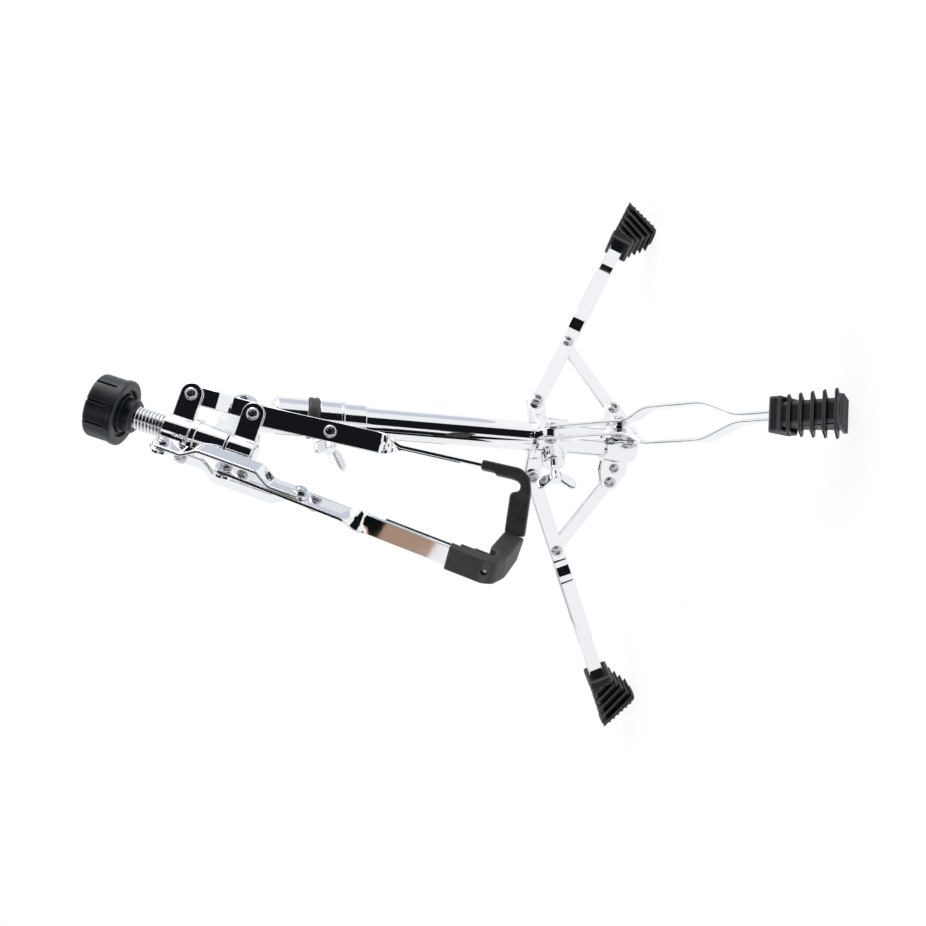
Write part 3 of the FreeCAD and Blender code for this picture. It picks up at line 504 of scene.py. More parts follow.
class StageSettings(bpy.types.PropertyGroup):
    """Light of the studio."""
    key: FloatProperty(name="Key lamp", description="Power of the large soft lamp on the right",
                       default=9.0, min=0.0, unit="POWER")
    fill: FloatProperty(name="Fill lamp", description="Power of the soft lamp on the left", default=9.0,
                        min=0.0, unit="POWER")
    ambient: FloatProperty(name="Ambient", description="Strength of the white surround as light",
                           default=0.6, min=0.0)
    card_distance: FloatProperty(name="Card distance", description="How far away the cards stand that the "
                                 "chrome reflects", default=2.4, min=1.0, unit="LENGTH")


def new_material(name):
    """The node tree of a new material, and its Principled shader."""
    material = bpy.data.materials.new(name)
    material.use_nodes = True
    tree = material.node_tree
    return tree, tree.nodes["Principled BSDF"]


def textured(tree, shader, place, drift, rough, cell_mm, relief, depth):
    """Lets the shader's roughness follow a drift between two values, and raises cells of a finer noise."""
    ramp = add(tree, "ShaderNodeMapRange", Value=drift, _1=0.3, _2=0.7, _3=rough[0], _4=rough[1])
    fine = add(tree, "ShaderNodeTexNoise", Vector=place, Scale=1000 / cell_mm, Detail=2.0)
    bump = add(tree, "ShaderNodeBump", Strength=relief, Distance=depth, Height=fine.outputs["Fac"])
    wire(tree, shader, Roughness=ramp.outputs["Result"], Normal=bump.outputs["Normal"])


def plated(name, colour, rough, wave_mm, peel_mm, peel, root=None):
    """Bright plating: a metal whose roughness drifts over wave_mm and whose surface rolls over peel_mm; a
    root colour fills its hollows."""
    tree, shader = new_material(name)
    place = add(tree, "ShaderNodeTexCoord").outputs["Object"]
    wire(tree, shader, Metallic=1.0, Base_Color=(*colour, 1))
    if root:
        hollow = add(tree, "ShaderNodeNewGeometry").outputs["Pointiness"]
        share = add(tree, "ShaderNodeMapRange", Value=hollow, _1=HOLLOW[0], _2=HOLLOW[1])
        tint = add(tree, "ShaderNodeMix", {"data_type": "RGBA"}, Factor=share.outputs["Result"],
                   _6=(*root, 1), _7=(*colour, 1))
        wire(tree, shader, Base_Color=tint.outputs[2])
    drift = add(tree, "ShaderNodeTexNoise", Vector=place, Scale=1000 / wave_mm, Detail=3.0)
    textured(tree, shader, place, drift.outputs["Fac"], rough, peel_mm, peel, 0.0004)


def moulded(name, colour, patch, worn, rough, grain_mm, grain, patch_mm, shine):
    """Moulded black polymer: a fine grain from the mould, paler patches where it was handled, and edges
    painted paler, which stand for wear and are a painted highlight."""
    tree, shader = new_material(name)
    place = add(tree, "ShaderNodeTexCoord").outputs["Object"]
    spots = add(tree, "ShaderNodeTexNoise", Vector=place, Scale=1000 / patch_mm, Detail=5.0, Roughness=0.6)
    share = add(tree, "ShaderNodeMapRange", Value=spots.outputs["Fac"], _1=0.42, _2=0.72)
    tint = add(tree, "ShaderNodeMix", {"data_type": "RGBA"}, Factor=share.outputs["Result"],
               _6=(*colour, 1), _7=(*patch, 1))
    # Edges painted paler by their pointiness: wear, and a painted highlight along the edges
    sharp = add(tree, "ShaderNodeNewGeometry").outputs["Pointiness"]
    highlight_and_wear_share = add(tree, "ShaderNodeMapRange", Value=sharp, _1=EDGE[0], _2=EDGE[1])
    tint = add(tree, "ShaderNodeMix", {"data_type": "RGBA"}, Factor=highlight_and_wear_share.outputs["Result"],
               _6=tint.outputs[2], _7=(*worn, 1))
    wire(tree, shader, Specular_IOR_Level=shine, Base_Color=tint.outputs[2])
    textured(tree, shader, place, spots.outputs["Fac"], rough, grain_mm, grain, 0.0003)


class DRUMSTAND_OT_finishes(bpy.types.Operator):
    """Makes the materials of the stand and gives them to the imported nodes"""
    bl_idname = "drumstand.finishes"
    bl_label = "Finishes"

    def execute(self, context):
        colours = context.scene.drumstand_finishes
        # Chrome over polished steel: a mirror with slow waves left by the polishing belt
        plated(STEEL, colours.chrome, rough=(0.02, 0.06), wave_mm=22.0, peel_mm=9.0, peel=0.012)
        # Chrome over a zinc casting: a mirror over faintly rolling skin, blurred a little
        plated(CASTING, colours.chrome, rough=(0.04, 0.11), wave_mm=8.0, peel_mm=3.0, peel=0.05)
        # Nickel plate on turned screws: bright, but with a satin blur
        plated(SCREWS, colours.screw, rough=(0.10, 0.2), wave_mm=2.0, peel_mm=0.9, peel=0.04)
        # Bright zinc on a rolled thread: polished crests, and roots that hold dull grease
        plated(THREAD, colours.chrome, rough=(0.05, 0.12), wave_mm=6.0, peel_mm=2.0, peel=0.03,
               root=linear("#3A3C40"))
        # Moulded rubber: deep grey-black with a bloom; its 0.3 mm grain is drawn at 0.8 mm to show
        moulded(RUBBER, colours.rubber, colours.bloom, worn=linear("#3A3A3E"), rough=(0.5, 0.64),
                grain_mm=0.8, grain=0.16, patch_mm=7.0, shine=0.8)
        # The feet's rubber: blacker in its grooves, with a painted highlight of pale grey along the edges
        # of its ribs
        moulded(RIBBED, linear("#0F0F12"), linear("#1A1A1E"), worn=linear("#5A5A60"), rough=(0.42, 0.56),
                grain_mm=0.8, grain=0.16, patch_mm=7.0, shine=0.22)
        # Moulded nylon: black with a soft shine; its spark-eroded 0.2 mm grain is drawn at 0.7 mm to show
        moulded(NYLON, colours.plastic, linear("#1F242B"), worn=linear("#3E434B"), rough=(0.3, 0.42),
                grain_mm=0.7, grain=0.08, patch_mm=9.0, shine=0.32)
        by_slot = {"chrome": STEEL, "cast_chrome": CASTING, "screw_steel": SCREWS}
        for node, piece in frame["nodes"].items():
            finish = NYLON if node.startswith("knob") else by_slot.get(SLOT[node], RUBBER)
            piece.data.materials.clear()
            piece.data.materials.append(bpy.data.materials[finish])
        return {"FINISHED"}


class DRUMSTAND_OT_tubes(bpy.types.Operator):
    """Makes the main tube, the sliding tube and the rubber ring between their fittings"""
    bl_idname = "drumstand.tubes"
    bl_label = "Tubes"

    def execute(self, context):
        for node, r, wall, low, high, at in (
                ("lower_tube", MM.tube_r, MM.tube_wall, MM.tube_bottom, MM.tube_top, None),
                ("upper_tube", MM.post_r, MM.post_wall, MM.post_bottom, MM.post_top, POST)):
            form(node, STEEL, [pipe(r - wall, r, low, high, at)])
        low, high = RING_Z, RING_Z + MM.ring_height
        bore, r, waist = MM.post_r + MM.slip, MM.ring_r, MM.ring_r - 0.5
        form("buffer_ring", RUBBER, [lathe([
            (bore, low), (r, low), (r, low + 2.9), (waist, low + 3.2), (waist, high - 3.2), (r, high - 2.9),
            (r, high), (bore, high)], None, 96, (0.3, 1.2, 0.3, 0.2, 0.2, 0.3, 1.2, 0.3))])
        return {"FINISHED"}


class DRUMSTAND_OT_height_clamp(bpy.types.Operator):
    """Makes the height clamp on the main tube's top and its wing screw"""
    bl_idname = "drumstand.height_clamp"
    bl_label = "Height clamp"

    def execute(self, context):
        screw = placed(0, 0, MM.height_screw_z, HEIGHT_TURN)
        seat, bore = MM.tube_r + MM.press, MM.post_r + MM.slip
        slim, wide, lip = MM.clamp_low_r, MM.clamp_high_r, MM.clamp_high_r + 0.5
        low, step, top = MM.clamp_bottom, MM.clamp_step, MM.clamp_top
        collar = lathe([
            (seat, low), (slim, low), (slim, step - 1), (lip, step - 1), (lip, step + 1), (wide, step + 1),
            (wide, top), (bore, top), (bore, MM.tube_top), (seat, MM.tube_top)], None, 128,
            (0.3, 1.0, 0.3, 0.8, 0.8, 0.2, 0.9, 0.3, 0.2, 0.2))
        boss = drum(MM.height_boss_r, *MM.height_boss, screw @ ALONG_X, 1.0)
        form("height_clamp", CASTING, [collar, boss])
        form("height_wing", CASTING, wing_screw(*HEIGHT_WING, screw @ placed(roll=HEIGHT_EARS)))
        return {"FINISHED"}


class DRUMSTAND_OT_stay_collar(bpy.types.Operator):
    """Makes the fixed collar at the tube's foot with its cheeks, clamp bolts and stay pins"""
    bl_idname = "drumstand.stay_collar"
    bl_label = "Stay collar"

    def execute(self, context):
        inside = MM.stay_thick / 2 + MM.play
        reach = inside + MM.plate_thick
        half = MM.collar_half
        shells = [pipe(MM.tube_r + MM.press, MM.collar_r, COLLAR_Z - half, COLLAR_Z + half, None, 96, 0.6)]
        root, neck = MM.tube_r + 1, MM.pivot_r - 8
        outline = np.concatenate((
            [(root, 1 - half), (neck, 1 - half)], arc(MM.pivot_r, 0, MM.plate_round, -90, 90),
            [(neck, half - 2), (root, half - 2)]))
        bolts, pins = [], []
        for _, azimuth in LEGS:
            at = placed(0, 0, COLLAR_Z, azimuth)
            for side in (1, -1):
                shells.append(plate(outline, MM.plate_thick, 0.55, at,
                                    (inside + MM.plate_thick / 2) * side))
            pins += bolt(at, MM.pivot_r, 0, reach, -reach)
            bolts += bolt(at, MM.clamp_bolt_r, -1, reach, -reach, 2.0, 3.8, MM.head_thick, 2.4)
        form("stay_collar", STEEL, shells)
        form("collar_bolts", SCREWS, bolts)
        form("stay_pins", SCREWS, pins)
        return {"FINISHED"}


class DRUMSTAND_OT_leg_hub(bpy.types.Operator):
    """Makes the sliding leg hub with its lugs, pivot pins and wing screw"""
    bl_idname = "drumstand.leg_hub"
    bl_label = "Leg hub"

    def execute(self, context):
        bore = MM.tube_r + MM.hub_slip
        z, low, high = MM.hub_z, MM.hub_z - MM.hub_low, MM.hub_z + MM.flange_high
        shells = [lathe([(bore, low), (MM.hub_r, low), (MM.hub_r, z), (MM.flange_r, z), (MM.flange_r, high),
                         (bore, high)], None, 128, (0.3, 1.2, 0.3, 1.2, 1.6, 0.4))]
        lug = tongue(bore + 1, MM.pivot_r, MM.lug_round)
        side = MM.strip_gap / 2 + MM.strip_thick + MM.play
        pins = []
        for _, azimuth in LEGS:
            at = placed(0, 0, z, azimuth)
            shells.append(plate(lug, MM.strip_gap - 0.4, 0.8, at))
            pins += bolt(at, MM.pivot_r, 0, side, -side)
        screw = placed(0, 0, MM.hub_screw_z, HUB_TURN)
        shells.append(drum(MM.hub_boss_r, *MM.hub_boss, screw @ ALONG_X, (0, 0.3, 2.2, 0), 96))
        form("leg_hub", CASTING, shells)
        form("hub_pins", SCREWS, pins)
        form("hub_wing", CASTING, wing_screw(*HUB_WING, screw @ placed(roll=HUB_EARS)))
        return {"FINISHED"}


class DRUMSTAND_OT_legs(bpy.types.Operator):
    """Makes the pair of bulged strips, the pivot pin and the stay of each leg"""
    bl_idname = "drumstand.legs"
    bl_label = "Legs"

    def execute(self, context):
        middle = MM.strip_gap / 2 + MM.strip_thick / 2
        up = (0, 0, 1)
        for name, azimuth in LEGS:
            at = leg_frame(azimuth, MM.hub_z, MM.leg_slope)
            for side, mark in ((1, "a"), (-1, "b")):
                line = np.array([(-MM.strip_w / 2, middle, 0), (MM.bulge_start, middle, 0),
                                 (MM.bulge_full, MM.bulge_half, 0), (MM.bulge_back, MM.bulge_half, 0),
                                 (MM.bulge_end, MM.tail_half, 0), (MM.strip_end, MM.tail_half, 0)])
                line[:, 1] *= side
                form(f"leg_{name}_strip_{mark}", STEEL,
                     [bar(line, up, MM.strip_w, MM.strip_thick, 6.0, at, False)])
            out = MM.strip_gap / 2 + MM.strip_thick
            gap = MM.stay_thick / 2 + MM.play
            shells = bolt(at, MM.stay_len, 0, out, -out)
            for y0, y1 in ((gap, MM.strip_gap / 2), (-MM.strip_gap / 2, -gap)):
                shells.append(drum(MM.head_r, y0, y1, at @ placed(MM.stay_len) @ ALONG_Y, 0.2, 48))
            form(f"leg_{name}_pin", SCREWS, shells)
            stay = leg_frame(azimuth, COLLAR_Z, -MM.leg_slope)
            r = MM.stay_w / 2
            form(f"stay_{name}", STEEL, [
                bar([(-r, 0, 0), (MM.stay_len / 2, 0, 0), (MM.stay_len + r, 0, 0)], up, MM.stay_w,
                    MM.stay_thick, 4.0, stay)])
        return {"FINISHED"}


class DRUMSTAND_OT_feet(bpy.types.Operator):
    """Makes the finned rubber boot of each leg"""
    bl_idname = "drumstand.feet"
    bl_label = "Feet"

    def execute(self, context):
        heel = MM.foot_toe - MM.foot_deep
        slope = np.radians(MM.leg_slope)
        down = (-np.sin(slope), np.cos(slope))
        lean = MM.foot_rake / MM.foot_deep
        end = MM.foot_end
        sole = end - MM.tread_r
        core = [(MM.foot_start, MM.foot_top - MM.groove), (end - MM.cap_thick / 2, MM.foot_toe - MM.groove),
                (end - MM.foot_rake - MM.cap_thick / 2, heel + MM.groove),
                (MM.foot_start + 1, -MM.foot_low + MM.groove)]
        inner = MM.foot_start + MM.mouth_long
        mouth = [(MM.foot_start - 1, MM.foot_top), (inner, MM.foot_top), (inner - 1, -MM.foot_low),
                 (MM.foot_start - 2, -MM.foot_low)]
        forms = [(core, MM.core_half * 2, 2.6, 2.4), (mouth, MM.mouth_half * 2, 2.2, 1.6)]
        # The sole lies in the raked plane: X up the rake, Y out of the sole, Z across the foot
        steep = np.hypot(lean, 1)
        tilted = np.eye(4)
        tilted[:3, :3] = np.array(((lean, 1, 0), (0, 0, steep), (1, -lean, 0))) / steep
        tilted[:3, 3] = (sole - MM.foot_rake / 2, 0, (MM.foot_toe + heel) / 2)
        long, wide, deep = MM.foot_deep * steep / 2, MM.cap_half, MM.cap_thick / steep - MM.tread_r
        cap = eased([(long, wide), (-long, wide), (-long, -wide), (long, -wide)], MM.cap_round)
        for k, rise in enumerate(FIN_RISE):
            top = MM.fin_first + MM.fin_step * k
            share = (top + MM.fin_thick - MM.foot_start) / (end - MM.foot_start)
            low = MM.foot_low + (MM.foot_deep - MM.foot_toe - MM.foot_low) * share - rise
            drop = (MM.foot_toe + low) * MM.fin_lean
            half = MM.fin_thick / 2
            forms.append(([(top - half, MM.foot_toe), (top + half, MM.foot_toe), (top + half - drop, -low),
                           (top - half - drop, -low)], (MM.fin_half + MM.fin_grow * k) * 2, 1.0, 1.1))
        treads = long * (2 * (np.arange(MM.tread_count) + 0.5) / MM.tread_count - 1)
        past = np.maximum(0, np.abs(treads) - long + MM.cap_round)
        reaches = wide - 0.1 - MM.cap_round + np.sqrt(MM.cap_round ** 2 - past ** 2)
        for name, azimuth in LEGS:
            at = leg_frame(azimuth, MM.hub_z, MM.leg_slope)
            shells = []
            for outline, thick, ease, edge in forms:
                kept = clipped(outline, down, -MM.hub_z)
                shells.append(plate(eased(kept, ease), thick, edge, at))
            shells.append(plate(cap, deep, 1.0, at @ tilted, -deep / 2))
            for x, reach in zip(treads, reaches):
                shells.append(drum(MM.tread_r, -reach, reach, at @ tilted @ placed(x), 0.4, 20))
            shells = [(np.maximum(points, LOWEST), faces) for points, faces in shells]
            form(f"leg_{name}_foot", RIBBED, shells)
        return {"FINISHED"}


class DRUMSTAND_OT_tilter(bpy.types.Operator):
    """Makes the tilter base on the sliding tube, its bolt and its wing nut"""
    bl_idname = "drumstand.tilter"
    bl_label = "Tilter"

    def execute(self, context):
        low, top = RING_Z + MM.ring_height + MM.play, MM.post_top
        seat, r, half = MM.post_r + MM.press, MM.clamp_high_r, MM.neck_half
        at = POST @ placed(z=MM.tilt_z)
        socket = lathe([(seat, low), (r, low), (r, top), (r - 3.5, top + 4), (0, top + 4), (0, top),
                        (seat, top)], POST, 128, (0.3, 0.9, 1.5, 1.5, 0, 0, 0.2))
        neck = plate([(-half, top - 5), (half, top - 5), (half, MM.tilt_z), (-half, MM.tilt_z)],
                     MM.disc_thick, 1.0, POST, MM.face_gap + MM.disc_thick / 2)
        disc = drum(MM.disc_r, MM.face_gap, MM.face_gap + MM.disc_thick, at @ ALONG_Y, 1.0)
        form("tilter_base", CASTING, [socket, neck, disc])
        outer = MM.disc_thick + 2 * MM.face_gap
        form("tilt_bolt", SCREWS, [
            drum(MM.bolt_r, -outer - MM.sunk, MM.disc_thick + 15, at @ ALONG_Y, 0.6, 48),
            button_head(at @ placed(y=-outer) @ AGAINST_Y, radius=6.2, height=4.0, socket=2.6, depth=2.2)])
        wing = at @ placed(y=outer, yaw=90) @ placed(roll=TILT_EARS)
        form("tilt_wing", CASTING, wing_screw(*TILT_WING, wing))
        return {"FINISHED"}


class DRUMSTAND_OT_basket_body(bpy.types.Operator):
    """Makes the bracket, the screwed rod, the arm hub and the slider with their bolts"""
    bl_idname = "drumstand.basket_body"
    bl_label = "Basket body"

    def execute(self, context):
        sizes = context.scene.drumstand_sizes
        back = -MM.depth + MM.face_gap
        z = -MM.sleeve_s
        bore, wide, slim = MM.rod_r + MM.press, MM.rod_r + 4.6, MM.rod_r + 3.2
        low = 10 - MM.slider_d
        step, top = low + 4.5, low + 25.6
        sleeve = lathe([(bore, low), (wide, low), (wide, step), (slim, step), (slim, top), (bore, top)],
                       BASKET, 128, (0.2, 1.0, 1.0, 0.3, 0.9, 0.2))
        arm = plate([(0, z - 8), (MM.reach, z - 8), (MM.reach, z + 8), (0, z + 8)], MM.disc_thick, 1.2,
                    BASKET, back + MM.disc_thick / 2)
        web = plate([(0, z - 8), (13, z - 8), (13, z + 8), (0, z + 8)], -back, 0.8, BASKET, back / 2)
        disc = drum(MM.disc_r, back, back + MM.disc_thick, BASKET @ placed(MM.reach, 0, z) @ ALONG_Y, 1.0)
        form("basket_bracket", CASTING, [sleeve, arm, web, disc])
        form("basket_rod", THREAD, [
            helix_rod(MM.rod_r, -MM.rod_start, MM.rod_tip, sizes.thread_pitch * 1000,
                      sizes.thread_depth * 1000, BASKET)])
        side = MM.arm_thick / 2
        hub_tab = side + MM.play
        tab = tongue(MM.rod_r + 1, MM.tab_r, MM.tab_w / 2, 41)
        for node, z, below, above, bore, y in (
                ("arm_hub", 0.0, 8.9, 9.0, bore, hub_tab),
                ("slider_hub", -MM.slider_d, 9.5, 9.3, MM.rod_r + MM.slip, -side)):
            shells = [pipe(bore, MM.sleeve_r, z - below, z + above, BASKET, 128, (0.3, 0.9, 0.9, 0.3))]
            shells += [plate(tab, MM.tab_thick, 0.75, s @ placed(z=z), y + MM.tab_thick / 2) for s in SETS]
            form(node, CASTING, shells)
        hinge, slide = [], []
        seat = MM.tab_thick - side
        for s in SETS:
            hinge += bolt(s, MM.tab_r, 0, hub_tab + MM.tab_thick, -side - MM.play, head=2.8, nut=4.4)
            at = s @ placed(MM.tab_r, 0, -MM.slider_d)
            slide += [drum(MM.pin_r, MM.slip - side, seat + MM.sunk, at @ ALONG_Y, 0.1, 32),
                      button_head(at @ placed(y=seat) @ ALONG_Y, MM.head_r, 2.8)]
        form("arm_hinge_bolts", SCREWS, hinge)
        form("slider_bolts", SCREWS, slide)
        return {"FINISHED"}


def arm_bar(at):
    """A basket arm: a flat bar along Z with a round end, whose width turns a quarter turn from X to Y by
    a smooth step between the twist's two heights, and which bends towards -X into a hook."""
    r = MM.arm_w / 2
    low = -r * np.cos(np.radians(np.linspace(4, 90, 14)))
    top = MM.arm_len - MM.arm_thick / 2
    bend = 12.0
    twist = np.linspace(MM.twist_start, MM.twist_end, 25)
    turn = np.radians(np.linspace(0, 90, 9))
    z = np.concatenate((low, [2, 40, MM.twist_start - 1], twist, [MM.twist_end + 1, 150, top - bend - 1],
                        top - bend + bend * np.sin(turn), np.full(3, top)))
    x = np.concatenate((np.zeros(len(z) - 12), -bend * (1 - np.cos(turn)),
                        [-bend - 1, -MM.hook_len / 2, -MM.hook_len]))
    spine = np.stack((x, np.zeros_like(z), z), 1)
    share = np.clip((z - MM.twist_start) / (MM.twist_end - MM.twist_start), 0, 1)
    yaw = np.pi / 2 * (3 * share ** 2 - 2 * share ** 3)
    across = np.stack((np.cos(yaw), np.sin(yaw), np.zeros_like(yaw)), 1)
    chord = np.clip(z + r, 0, r)
    half = np.sqrt(r ** 2 - (r - chord) ** 2)
    return sweep(spine, across, half, r, MM.arm_thick, 0.5, at)


class DRUMSTAND_OT_arms(bpy.types.Operator):
    """Makes the three twisted basket arms with their pins, links and link nuts"""
    bl_idname = "drumstand.arms"
    bl_label = "Arms and links"

    def execute(self, context):
        side = MM.arm_thick / 2
        face = side + MM.play
        seat = -face - MM.link_thick
        low = -face - MM.link_thick / 2
        r = MM.link_w / 2
        a, b, c, d = MM.link_bends
        line = [(0, low, -r), (0, low, a), (0, low - MM.joggle, b), (0, low - MM.joggle, c), (0, low, d),
                (0, low, LINK_LEN + r)]
        for k in range(3):
            form(f"arm_{k + 1}", STEEL, [arm_bar(ARMS[k])])
            form(f"arm_{k + 1}_pin", SCREWS,
                 bolt(ARMS[k], 0, MM.crank, side, seat - MM.play, nut=3.6))
            form(f"link_{k + 1}", STEEL,
                 [bar(line, (1, 0, 0), MM.link_w, MM.link_thick, 1.6, LINKS[k])])
            form(f"link_{k + 1}_nut", SCREWS, [
                drum(MM.pin_r, seat - MM.sunk, -face - MM.slip, LINKS[k] @ ALONG_Y, 0.1, 32),
                hexagon_nut(LINKS[k] @ placed(y=seat) @ AGAINST_Y)])
        return {"FINISHED"}


class DRUMSTAND_OT_grips(bpy.types.Operator):
    """Makes the moulded rubber grip on each arm's hook"""
    bl_idname = "drumstand.grips"
    bl_label = "Grips"

    def execute(self, context):
        inner = MM.grip_end - MM.pad_thick
        out, end, tip, face = MM.grip_out, MM.grip_end, MM.grip_tip, MM.grip_in
        cut, pull = MM.grip_cut, MM.grip_lean
        outline = [(out, MM.grip_start), (out, end - cut), (out - cut * 0.35, end - cut * 0.45),
                   (out - cut * 1.1, end - pull), (-tip, end), (-tip, inner), (-15.5, inner - pull * 0.8),
                   (-13.4, inner - pull * 0.5), (-11.2, inner + 3.6), (-7.2, inner + 3.6),
                   (-face - 0.6, inner + 0.6), (-face, inner - 3.6), (-face, MM.grip_start + 10.5),
                   (-face + 1.5, MM.grip_start + 9), (-face + 1.5, MM.grip_start)]
        line = eased(outline, (1.6, 2.6, 2.2, 2.6, 2.4, 2.4, 0.8, 1.2, 1.6, 1.6, 1.2, 1.4, 0.7, 0.7, 1.2))
        for k in range(3):
            piece = form(f"grip_{k + 1}", RUBBER, [plate(line, MM.grip_half * 2, 1.1, ARMS[k])])
            hole = ARMS[k] @ placed(0, 0, MM.screw_z) @ ALONG_X
            drilled(piece, drum(MM.screw_hole, out - 2.2, out + 3, hole, 0.01, 40))
            head = button_head(hole @ placed(z=out - 2.25), MM.screw_hole * 0.72, 1.1, 0.75, 0.7, 48)
            form(f"grip_{k + 1}_screw", SCREWS, [head], f"arm_{k + 1}")
        return {"FINISHED"}


def knob_shell(sizes):
    """The knob's section turned about Z, its outer wall drawn in by the slot depth where the angle lies
    within half a slot of the nearest of evenly spaced slots, fading out towards the inner flange."""
    out, inn, r = -MM.knob_outer, -MM.knob_inner, MM.knob_r
    wall, bore = r - 0.8, MM.rod_r + MM.slip
    profile = [(bore, out), (wall, out), (wall, out + 6), (wall, out + 14), (wall, out + 16),
               (wall, inn - 4), (r, inn - 4), (r, inn), (r - 6, inn), (r - 7, inn - 3),
               (MM.boss_r + 1.5, inn - 3), (MM.boss_r + 1.2, inn), (bore, inn)]
    line = eased(profile, (0.3, 2.4, 0.5, 0.2, 0.2, 0.2, 0.4, 1.6, 0.8, 0.8, 0.8, 0.4, 0.3), steps=7)
    a = circle(720)
    r0, z = line[:, :1], line[:, 1:]
    step = 2 * np.pi / sizes.slot_count
    off = np.abs((a - sizes.slot_turn + step / 2) % step - step / 2) * wall
    slot = np.clip((1.25 - off / (sizes.slot_width * 500)) * 2, 0, 1)
    run = np.clip((out + 15.5 - z) / 0.8, 0, 1) * (r0 > r - 6)
    return turned(r0 - sizes.slot_depth * 1000 * slot * run, a, z, BASKET, True)


class DRUMSTAND_OT_knob(bpy.types.Operator):
    """Makes the clamping knob with its grip slots and its collar"""
    bl_idname = "drumstand.knob"
    bl_label = "Knob"

    def execute(self, context):
        form("knob", NYLON, [knob_shell(context.scene.drumstand_sizes)])
        low, high = MM.play - MM.knob_inner, -MM.boss_end
        bore, r = MM.rod_r + MM.slip, MM.boss_r
        profile = [(bore, low), (r, low), (r, high - 2), (r - 2, high), (bore, high)]
        form("knob_collar", NYLON, [lathe(profile, BASKET, 96, 0.7)])
        return {"FINISHED"}


def sheet(name, finish, corners):
    """A flat four-cornered sheet of the studio, in metres."""
    mesh = bpy.data.meshes.new(name)
    mesh.from_pydata(np.asarray(corners, float), [], [(0, 1, 2, 3)])
    mesh.materials.append(bpy.data.materials[finish])
    made = linked(name, mesh)
    return made


# Cards around the stand: shade, then azimuth from the front towards the right and elevation in degrees
CARDS = (
    ("card_front", "#16181B", -20, 36, -21, 64),
    ("card_front_west", "#16181B", -24, -20, 22, 33),
    ("card_front_east", "#1A1C20", 36, 47, 15, 31),
    ("card_left", "#101114", -80, -38, -17, 3),
    ("card_left_side", "#121316", -97, -84, 15, 25),
    ("card_left_high", "#101114", -66, -48, 3, 23),
    ("card_warm", "#B2937F", -84, -52, 31.9, 35.05),
    ("card_over_warm", "#0E0F11", -84, -52, 35.05, 58),
    ("card_over_left", "#15171A", -140, -84, 42, 74),
    ("card_over_right", "#15171A", -52, -40, 35.5, 56),
    ("card_back", "#26282C", 168, 200, -14, 2),
    ("card_pale", "#D3D9E3", 78, 122, -17, 2),
)
# The one card that also takes its share of the soft light away
SHADING_CARD = "card_front"


def card_corners(west, east, low, high, distance):
    """Corners of a card at a distance from the stand's middle: azimuth from -Y towards +X, elevation."""
    a = np.radians((west, east, east, west))
    e = np.radians((low, low, high, high))
    aim = np.stack((np.sin(a) * np.cos(e), -np.cos(a) * np.cos(e), np.sin(e)), 1)
    return aim * distance + MIDDLE


def paper(name, shade):
    """A card's own glow, the same all over and free of the lamps."""
    tree, _ = new_material(name)
    glow = add(tree, "ShaderNodeEmission", Color=(*linear(shade), 1), Strength=1.0)
    wire(tree, tree.nodes["Material Output"], Surface=glow.outputs[0])


def facing(right, back, at):
    """World matrix of a lamp or camera at a point, its X to the right and its Z to the back."""
    turn = np.eye(4)
    turn[:3] = np.stack((unit(right), unit(np.cross(back, right)), unit(back), at), 1)
    return Matrix(turn)


def shown(tree):
    """One where a ray from the camera, a mirror or a glass meets the surface, and zero for soft light."""
    path = add(tree, "ShaderNodeLightPath").outputs
    seen = path["Is Camera Ray"]
    for kind in ("Is Glossy Ray", "Is Transmission Ray"):
        seen = add(tree, "ShaderNodeMath", {"operation": "MAXIMUM"}, _0=seen, _1=path[kind]).outputs[0]
    return seen


def lamp(name, power, size, at, aim):
    """A square soft lamp that looks from one point towards another."""
    data = bpy.data.lights.new(name, "AREA")
    data.energy = power
    data.size = size
    made = linked(name, data)
    back = np.asarray(at, float) - aim
    made.matrix_world = facing(np.cross((0, 0, 1), back), back, at)
    return made


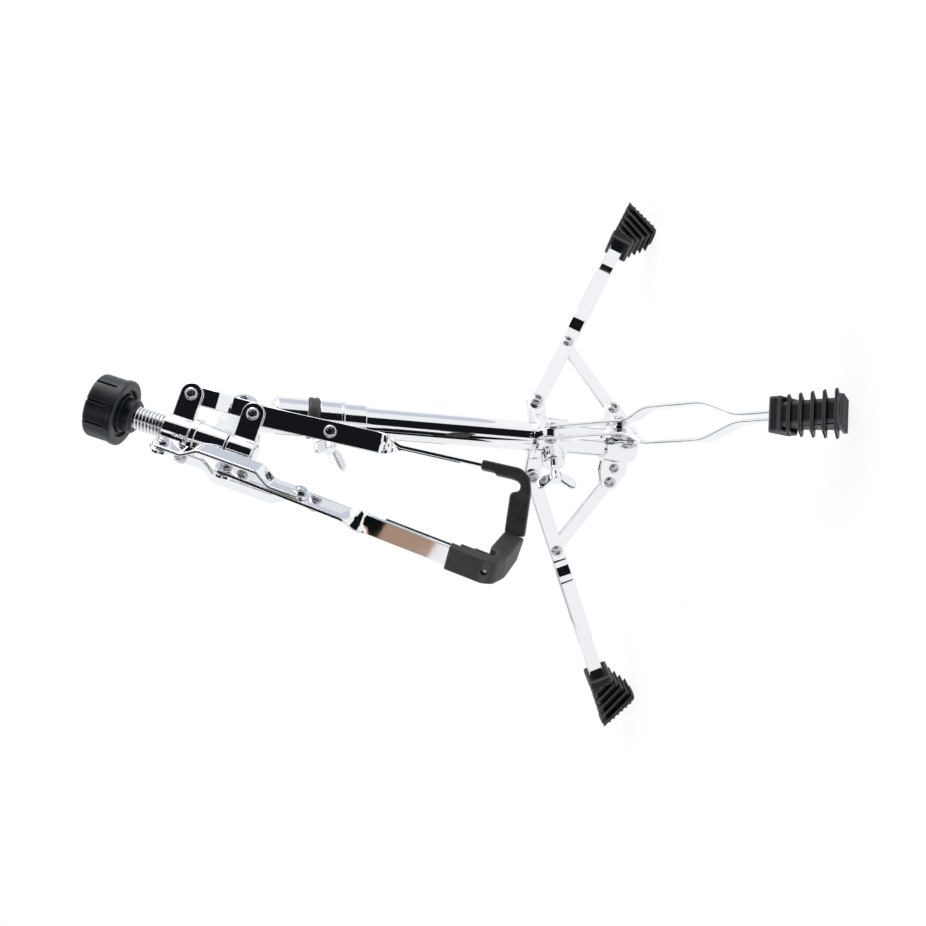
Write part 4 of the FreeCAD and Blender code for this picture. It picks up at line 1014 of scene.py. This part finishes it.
class DRUMSTAND_OT_stage(bpy.types.Operator):
    """Makes the floor, the white surround, the dark cards that the chrome reflects, lamps and camera"""
    bl_idname = "drumstand.stage"
    bl_label = "Studio"

    def execute(self, context):
        scene = context.scene
        settings = scene.drumstand_stage
        scene.view_settings.view_transform = "Standard"
        world = bpy.data.worlds.new("white_surround")
        world.use_nodes = True
        scene.world = world
        tree = world.node_tree
        power = add(tree, "ShaderNodeMapRange", Value=shown(tree), _3=settings.ambient, _4=1.0)
        wire(tree, tree.nodes["Background"], Color=(1, 1, 1, 1), Strength=power.outputs["Result"])

        tree, shader = new_material("white_paper_floor")
        wire(tree, shader, Base_Color=(*linear("#F4F4F4"), 1), Roughness=0.9)
        part = add(tree, "ShaderNodeMath", {"operation": "MULTIPLY"}, _0=shown(tree), _1=0.82)
        glow = add(tree, "ShaderNodeEmission", Color=(1, 1, 1, 1), Strength=1.08)
        mixed = add(tree, "ShaderNodeMixShader", Fac=part.outputs[0], _1=shader.outputs[0],
                    _2=glow.outputs[0])
        wire(tree, tree.nodes["Material Output"], Surface=mixed.outputs[0])
        sheet("floor", "white_paper_floor", [
            (-FLOOR_HALF, FLOOR_NEAR, FLOOR_Z), (FLOOR_HALF, FLOOR_NEAR, FLOOR_Z),
            (FLOOR_HALF, FLOOR_FAR, FLOOR_Z), (-FLOOR_HALF, FLOOR_FAR, FLOOR_Z)])

        for name, shade, *edges in CARDS:
            paper(name, shade)
            card = sheet(name, name, card_corners(*edges, settings.card_distance))
            card.visible_camera = False
            card.visible_diffuse = name == SHADING_CARD
            card.visible_shadow = False

        lamp("key", settings.key, 0.9, (1.3, -0.15, 0.8), (0, 0, 0.2))
        fill = lamp("fill", settings.fill, 0.9, (-1.35, -0.25, 0.35), (0, 0, 0.2))
        fill.visible_glossy = False

        data = bpy.data.cameras.new("camera")
        data.sensor_width = SENSOR
        data.lens = FOCAL / PICTURE * SENSOR
        camera = linked("camera", data)
        right = np.array((0.0596, -0.2085, -0.9762))
        back = np.array((-0.0872, -0.9753, 0.2030))
        camera.matrix_world = facing(right, back, (-0.1025, -0.8780, 0.3647))
        scene.camera = camera
        return {"FINISHED"}


GROUPS = (("drumstand_sizes", StandSizes), ("drumstand_finishes", StandFinishes),
          ("drumstand_stage", StageSettings))
OPERATORS = (
    DRUMSTAND_OT_finishes, DRUMSTAND_OT_tubes, DRUMSTAND_OT_height_clamp, DRUMSTAND_OT_stay_collar,
    DRUMSTAND_OT_leg_hub, DRUMSTAND_OT_legs, DRUMSTAND_OT_feet, DRUMSTAND_OT_tilter,
    DRUMSTAND_OT_basket_body, DRUMSTAND_OT_arms, DRUMSTAND_OT_grips, DRUMSTAND_OT_knob,
    DRUMSTAND_OT_stage,
)


class DRUMSTAND_PT_sidebar(bpy.types.Panel):
    """Lists the stand's sizes, colours and makers"""
    bl_label = "Snare drum stand"
    bl_idname = "DRUMSTAND_PT_sidebar"
    bl_space_type = "VIEW_3D"
    bl_region_type = "UI"
    bl_category = "Drum stand"

    def draw(self, context):
        for key, group in GROUPS:
            for name in group.__annotations__:
                self.layout.prop(getattr(context.scene, key), name)
        for operator in OPERATORS:
            self.layout.operator(operator.bl_idname)


def register():
    """Registers the groups, operators and panel."""
    for key, group in GROUPS:
        bpy.utils.register_class(group)
        setattr(bpy.types.Scene, key, PointerProperty(type=group))
    for item in (*OPERATORS, DRUMSTAND_PT_sidebar):
        bpy.utils.register_class(item)


def unregister():
    """Takes the panel, operators and groups out again."""
    for item in (DRUMSTAND_PT_sidebar, *reversed(OPERATORS)):
        bpy.utils.unregister_class(item)
    for key, group in reversed(GROUPS):
        delattr(bpy.types.Scene, key)
        bpy.utils.unregister_class(group)


def main():
    """Makes every piece in order."""
    register()
    bpy.ops.drumstand.finishes()
    bpy.ops.drumstand.tubes()
    bpy.ops.drumstand.height_clamp()
    bpy.ops.drumstand.stay_collar()
    bpy.ops.drumstand.leg_hub()
    bpy.ops.drumstand.legs()
    bpy.ops.drumstand.feet()
    bpy.ops.drumstand.tilter()
    bpy.ops.drumstand.basket_body()
    bpy.ops.drumstand.arms()
    bpy.ops.drumstand.grips()
    bpy.ops.drumstand.knob()
    bpy.ops.drumstand.stage()


if __name__ == "__main__":
    main()
